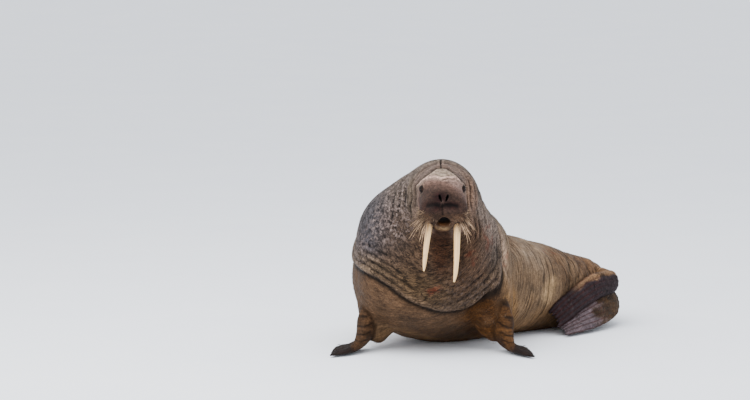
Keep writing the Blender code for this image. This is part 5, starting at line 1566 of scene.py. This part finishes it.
def at_roots(field, spots):
    """A grid's values at the drawn places, blended between the four corners of the cell."""
    row, column, a, b = spots
    after = (column + 1) % AROUND
    if field.ndim == 3:
        a = a[:, None]
        b = b[:, None]
    first = field[row, column] * (1 - b) + field[row, after] * b
    second = field[row + 1, column] * (1 - b) + field[row + 1, after] * b
    return first * (1 - a) + second * a


def rods(root, out, droop, length, thick, sides, steps):
    """Rings of points along bent rods: direction turns from out towards droop with the share."""
    share = (np.arange(steps) + 0.5) / steps
    way = unit(out[:, None, :] * (1 - share[None, :, None]) + droop[:, None, :] * share[None, :, None])
    path = np.concatenate([root[:, None, :], root[:, None, :] + np.cumsum(way * (length / steps)[:, None, None], 1)], 1)
    along = np.concatenate([way[:, :1], way], 1)
    aside = unit(np.cross(along, np.array((0.31, 0.87, 0.22))))
    other = np.cross(along, aside)
    q = np.arange(sides) * 2 * math.pi / sides
    taper = thick[:, None] * (1 - 0.78 * np.linspace(0, 1, steps + 1)[None, :] ** 1.3)
    rings = path[:, :, None, :] + taper[:, :, None, None] * (
        np.cos(q)[None, None, :, None] * aside[:, :, None, :] + np.sin(q)[None, None, :, None] * other[:, :, None, :])
    return rings, path


def rod_mesh(name, rings, path, root_uv, values, material):
    """All rods in one closed mesh, with a small patch for each on the map for baking."""
    count, rows, sides, _ = rings.shape
    points = np.concatenate([rings.reshape(count, -1, 3), path[:, :1], path[:, -1:]], 1)
    per = points.shape[1]
    quads = grid_faces(rows, sides)
    caps = np.vstack([fan(np.arange(sides), per - 2)[:, ::-1], fan(np.arange(sides) + (rows - 1) * sides, per - 1)])
    if volume(points[0], [quads, caps]) < 0:
        quads = quads[:, ::-1]
        caps = caps[:, ::-1]
    shift = (np.arange(count) * per)[:, None, None]
    faces = [(quads[None] + shift).reshape(-1, 4), (caps[None] + shift).reshape(-1, 3)]
    each = {label: np.repeat(array, per, 0) for label, array in values.items()}
    share = np.concatenate([np.repeat(np.linspace(0, 1, rows), sides), [0, 1]])
    each["share"] = np.tile(share, count)[:, None]
    item = make_piece(name, points.reshape(-1, 3) + SHIFT, faces, each)
    turn = np.concatenate([np.tile(np.arange(sides) / sides, rows), [0.5, 0.5]])
    spot = root_uv[:, None, :] + 0.003 * (np.stack([turn, share], -1)[None] - 0.5)
    loops = np.zeros(len(item.data.loops), np.int32)
    item.data.loops.foreach_get("vertex_index", loops)
    layer = item.data.uv_layers.new(name="OFBake")
    layer.data.foreach_set("uv", spot.reshape(-1, 2)[loops].astype(np.float32).ravel())
    item.data.materials.append(material)
    return item


ROW_STEP = np.gradient(S_LINE)
UNWRAP = np.stack([THETA / (2 * math.pi), S / S_LINE[-1]], -1) * 0.98 + 0.01
SKIN_NORMAL = grid_normals(SKIN)
SKIN_NORMAL = SKIN_NORMAL * np.sign((SKIN_NORMAL * WAY).sum(-1).mean())
lip_line = -0.172 - 0.055 * smooth_step((wide - 0.025) / 0.045)
pad_zone = (front_face > 0) | ((f > 0.075) & head_zone)
pad_zone = pad_zone & (u < -0.116 + 0.10 * np.maximum(wide - 0.05, 0)) & (u > lip_line + 0.004) & (wide > 0.016) & (mouth < 0.05)
corners = smooth_step((wide - 0.085) / 0.04)
spots, dice = root_places(460, pad_zone * (1 + 1.5 * corners) * (1 - 0.85 * over_tusk), 7)
root = at_roots(SKIN, spots)
out = unit(at_roots(SKIN_NORMAL, spots))
place = at_roots(LOCAL, spots)
count = len(root)
corner = smooth_step((np.abs(place[:, 0]) - 0.070) / 0.060)
low_part = smooth_step((-0.120 - place[:, 2]) / 0.085)
length = (0.006 + 0.024 * low_part + 0.030 * corner + 0.060 * corner * low_part) * dice.uniform(0.5, 1.3, count)
length = length * (0.35 + 0.65 * smooth_step((np.abs(place[:, 0]) - 0.025) / 0.03))
down = np.array((0.0, 0.0, -1.0))
jitter = dice.normal(0, 0.16, (count, 3))
sideways = np.sign(place[:, :1]) * head_axes()[:1]
upper = smooth_step((place[:, 2] + 0.150) / 0.03)[:, None] * corner[:, None]
start = unit(out + 0.30 * down + (0.25 * corner[:, None] + 0.6 * upper) * sideways + jitter)
length = length * (1 - 0.45 * upper[:, 0])
drop = (0.5 + 0.6 * low_part[:, None]) * (1 - 0.8 * upper)
finish = unit(out * 0.35 + (0.30 * corner[:, None] + 0.6 * upper) * sideways + down * drop + 1.2 * jitter)
thick = 0.00080 + 0.00080 * corner * low_part + dice.uniform(0, 0.0003, count)
rings, path = rods(root - out * 0.004, start, finish, length + 0.004, thick, 5, 8)
bristle = Finish("whisker_horn", Roughness=0.45, Specular_IOR_Level=0.15)
tone = bristle.attribute("tone", "Fac")
share = bristle.attribute("share", "Fac")
mixed = bristle.blend(tone, colour(44, 31, 24), colour(214, 178, 142))
mixed = bristle.blend(bristle.between(share, 0.0, 0.5, 0.65, 0.0), mixed, colour(40, 28, 22))
bristle.put("Base Color", mixed)
whiskers = rod_mesh("whiskers", rings, path, UNWRAP[spots[0], spots[1]],
                    {"tone": np.clip((0.05 + 1.1 * np.maximum(low_part, 0.5 * upper[:, 0]) * (0.3 + 0.7 * corner)) * dice.choice((0.1, 0.55, 1.0), count, p=(0.4, 0.2, 0.4)), 0, 1)[:, None]},
                    bristle.material)
print("whiskers", count, "longest", round(float(length.max()), 3), "m")

# %% [markdown]
# ## Coat
# A walrus's hair is short, coarse and flat, so most of it is in the bump. Thin tapered hairs, bent
# tailward, stand where it breaks the form: on the trunk all round, sparsely on the neck, and as a short
# beard below the jaw. Each takes the hide's tint at its root.

# %%
TAILWARD = unit(np.gradient(SKIN, axis=0))
COAT = 6400
fur = Finish("coat_hair", Roughness=0.6, Specular_IOR_Level=0.2)
fur_tone = fur.attribute("fur", "Fac")
fur.put("Base Color", fur.blend(fur_tone, fur.shade(fur.attribute("tint", "Color"), 0.8),
                                fur.shade(fur.attribute("tint", "Color"), 2.0)))
trunk_fur = (T > 1.0) * (1 - 0.75 * NECK) * (SKIN[..., 2] > 0.02)
beard = (T < 1.0) * (u < -0.20) * 1.6 + (T > 0.05) * (T <= 1.0) * 0.35
coats = []
for name, keep, seed in (("coat_front", (trunk_fur + beard) * (T < 3.9), 21), ("coat_rear", trunk_fur * (T >= 3.9), 22)):
    spots, dice = root_places(COAT, keep.astype(float), seed)
    root = at_roots(SKIN, spots)
    out = unit(at_roots(SKIN_NORMAL, spots))
    back = unit(at_roots(TAILWARD, spots) + dice.normal(0, 0.22, root.shape))
    length = dice.uniform(0.009, 0.019, len(root))
    thick = dice.uniform(0.00035, 0.00060, len(root))
    rings, path = rods(root - out * 0.002, unit(out * 0.55 + back), unit(out * 0.02 + back), length, thick, 3, 3)
    tone = np.hstack([at_roots(TINT, spots), np.ones((len(root), 1))])
    coats.append(rod_mesh(name, rings, path, UNWRAP[spots[0], spots[1]],
                          {"tint": tone, "fur": dice.random((len(root), 1))}, fur.material))
print("hairs", 2 * COAT)

# %% [markdown]
# ## Floor, light and viewpoint
# The model lies on a wide pale floor under a large soft light from above, as on an overcast day. The
# viewpoint is thirty metres off with a long lens, seven degrees above the floor.

# %%
bpy.ops.mesh.primitive_circle_add(vertices=96, radius=60.0, fill_type="NGON", location=(0, 0, -0.0006))
floor = bpy.context.object
floor.name = "floor"
snow = Finish("pale_floor", Roughness=0.9)
snow.put("Base Color", snow.blend(snow.noise(snow.place, 1.5, 4.0), colour(238, 242, 250), colour(246, 249, 253)))
floor.data.materials.append(snow.material)


def soft_light(name, place, target, size, power, tone):
    """A square lamp that faces a target."""
    data = bpy.data.lights.new(name, "AREA")
    data.shape = "SQUARE"
    data.size = size
    data.energy = power
    data.color = tone
    item = bpy.data.objects.new(name, data)
    bpy.context.scene.collection.objects.link(item)
    item.location = place
    item.rotation_euler = (Vector(target) - Vector(place)).to_track_quat("-Z", "Y").to_euler()


soft_light("sky_lamp", (-2.0, -2.5, 7.0), (0, 0, 0.4), 9.0, 900.0, (1.0, 0.99, 0.98))
soft_light("front_lamp", (-6.5, -8.5, 4.6), (0, 0, 0.5), 6.0, 420.0, (1.0, 0.985, 0.96))
world = bpy.data.worlds.new("overcast")
bpy.context.scene.world = world
world.use_nodes = True
world.node_tree.nodes["Background"].inputs["Color"].default_value = colour(232, 235, 240)
world.node_tree.nodes["Background"].inputs["Strength"].default_value = 1.9
camera_data = bpy.data.cameras.new("viewpoint")
camera = bpy.data.objects.new("viewpoint", camera_data)
bpy.context.scene.collection.objects.link(camera)
camera.location = Vector(EYE_POINT + SHIFT)
camera.rotation_euler = Vector(VIEW_F).to_track_quat("-Z", "Y").to_euler()
camera_data.sensor_width = 36.0
camera_data.lens = 36.0 * VIEW_FAR / UNIT / 750.0
camera_data.clip_end = 400.0
bpy.context.scene.camera = camera
print("lens", round(camera_data.lens, 1), "mm")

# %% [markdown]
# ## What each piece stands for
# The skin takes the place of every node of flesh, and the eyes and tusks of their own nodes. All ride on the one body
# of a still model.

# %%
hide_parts("head", "neck", "chest", "torso", "hindquarters", "muzzle", "lower_jaw",
            "fore_flipper_left", "fore_flipper_right", "hind_flipper_left", "hind_flipper_right", "tail")
for side in ("left", "right"):
    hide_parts("eye_" + side)
    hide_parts("tusk_" + side)
finishes = {"skin_body": (skin, *coats), "skin_flipper": (claws,), "skin_muzzle": (whiskers,),
            "eye": eyes.values(), "ivory": tusks.values()}
for name, pieces in finishes.items():
    for piece in pieces:
        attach(piece, "root")
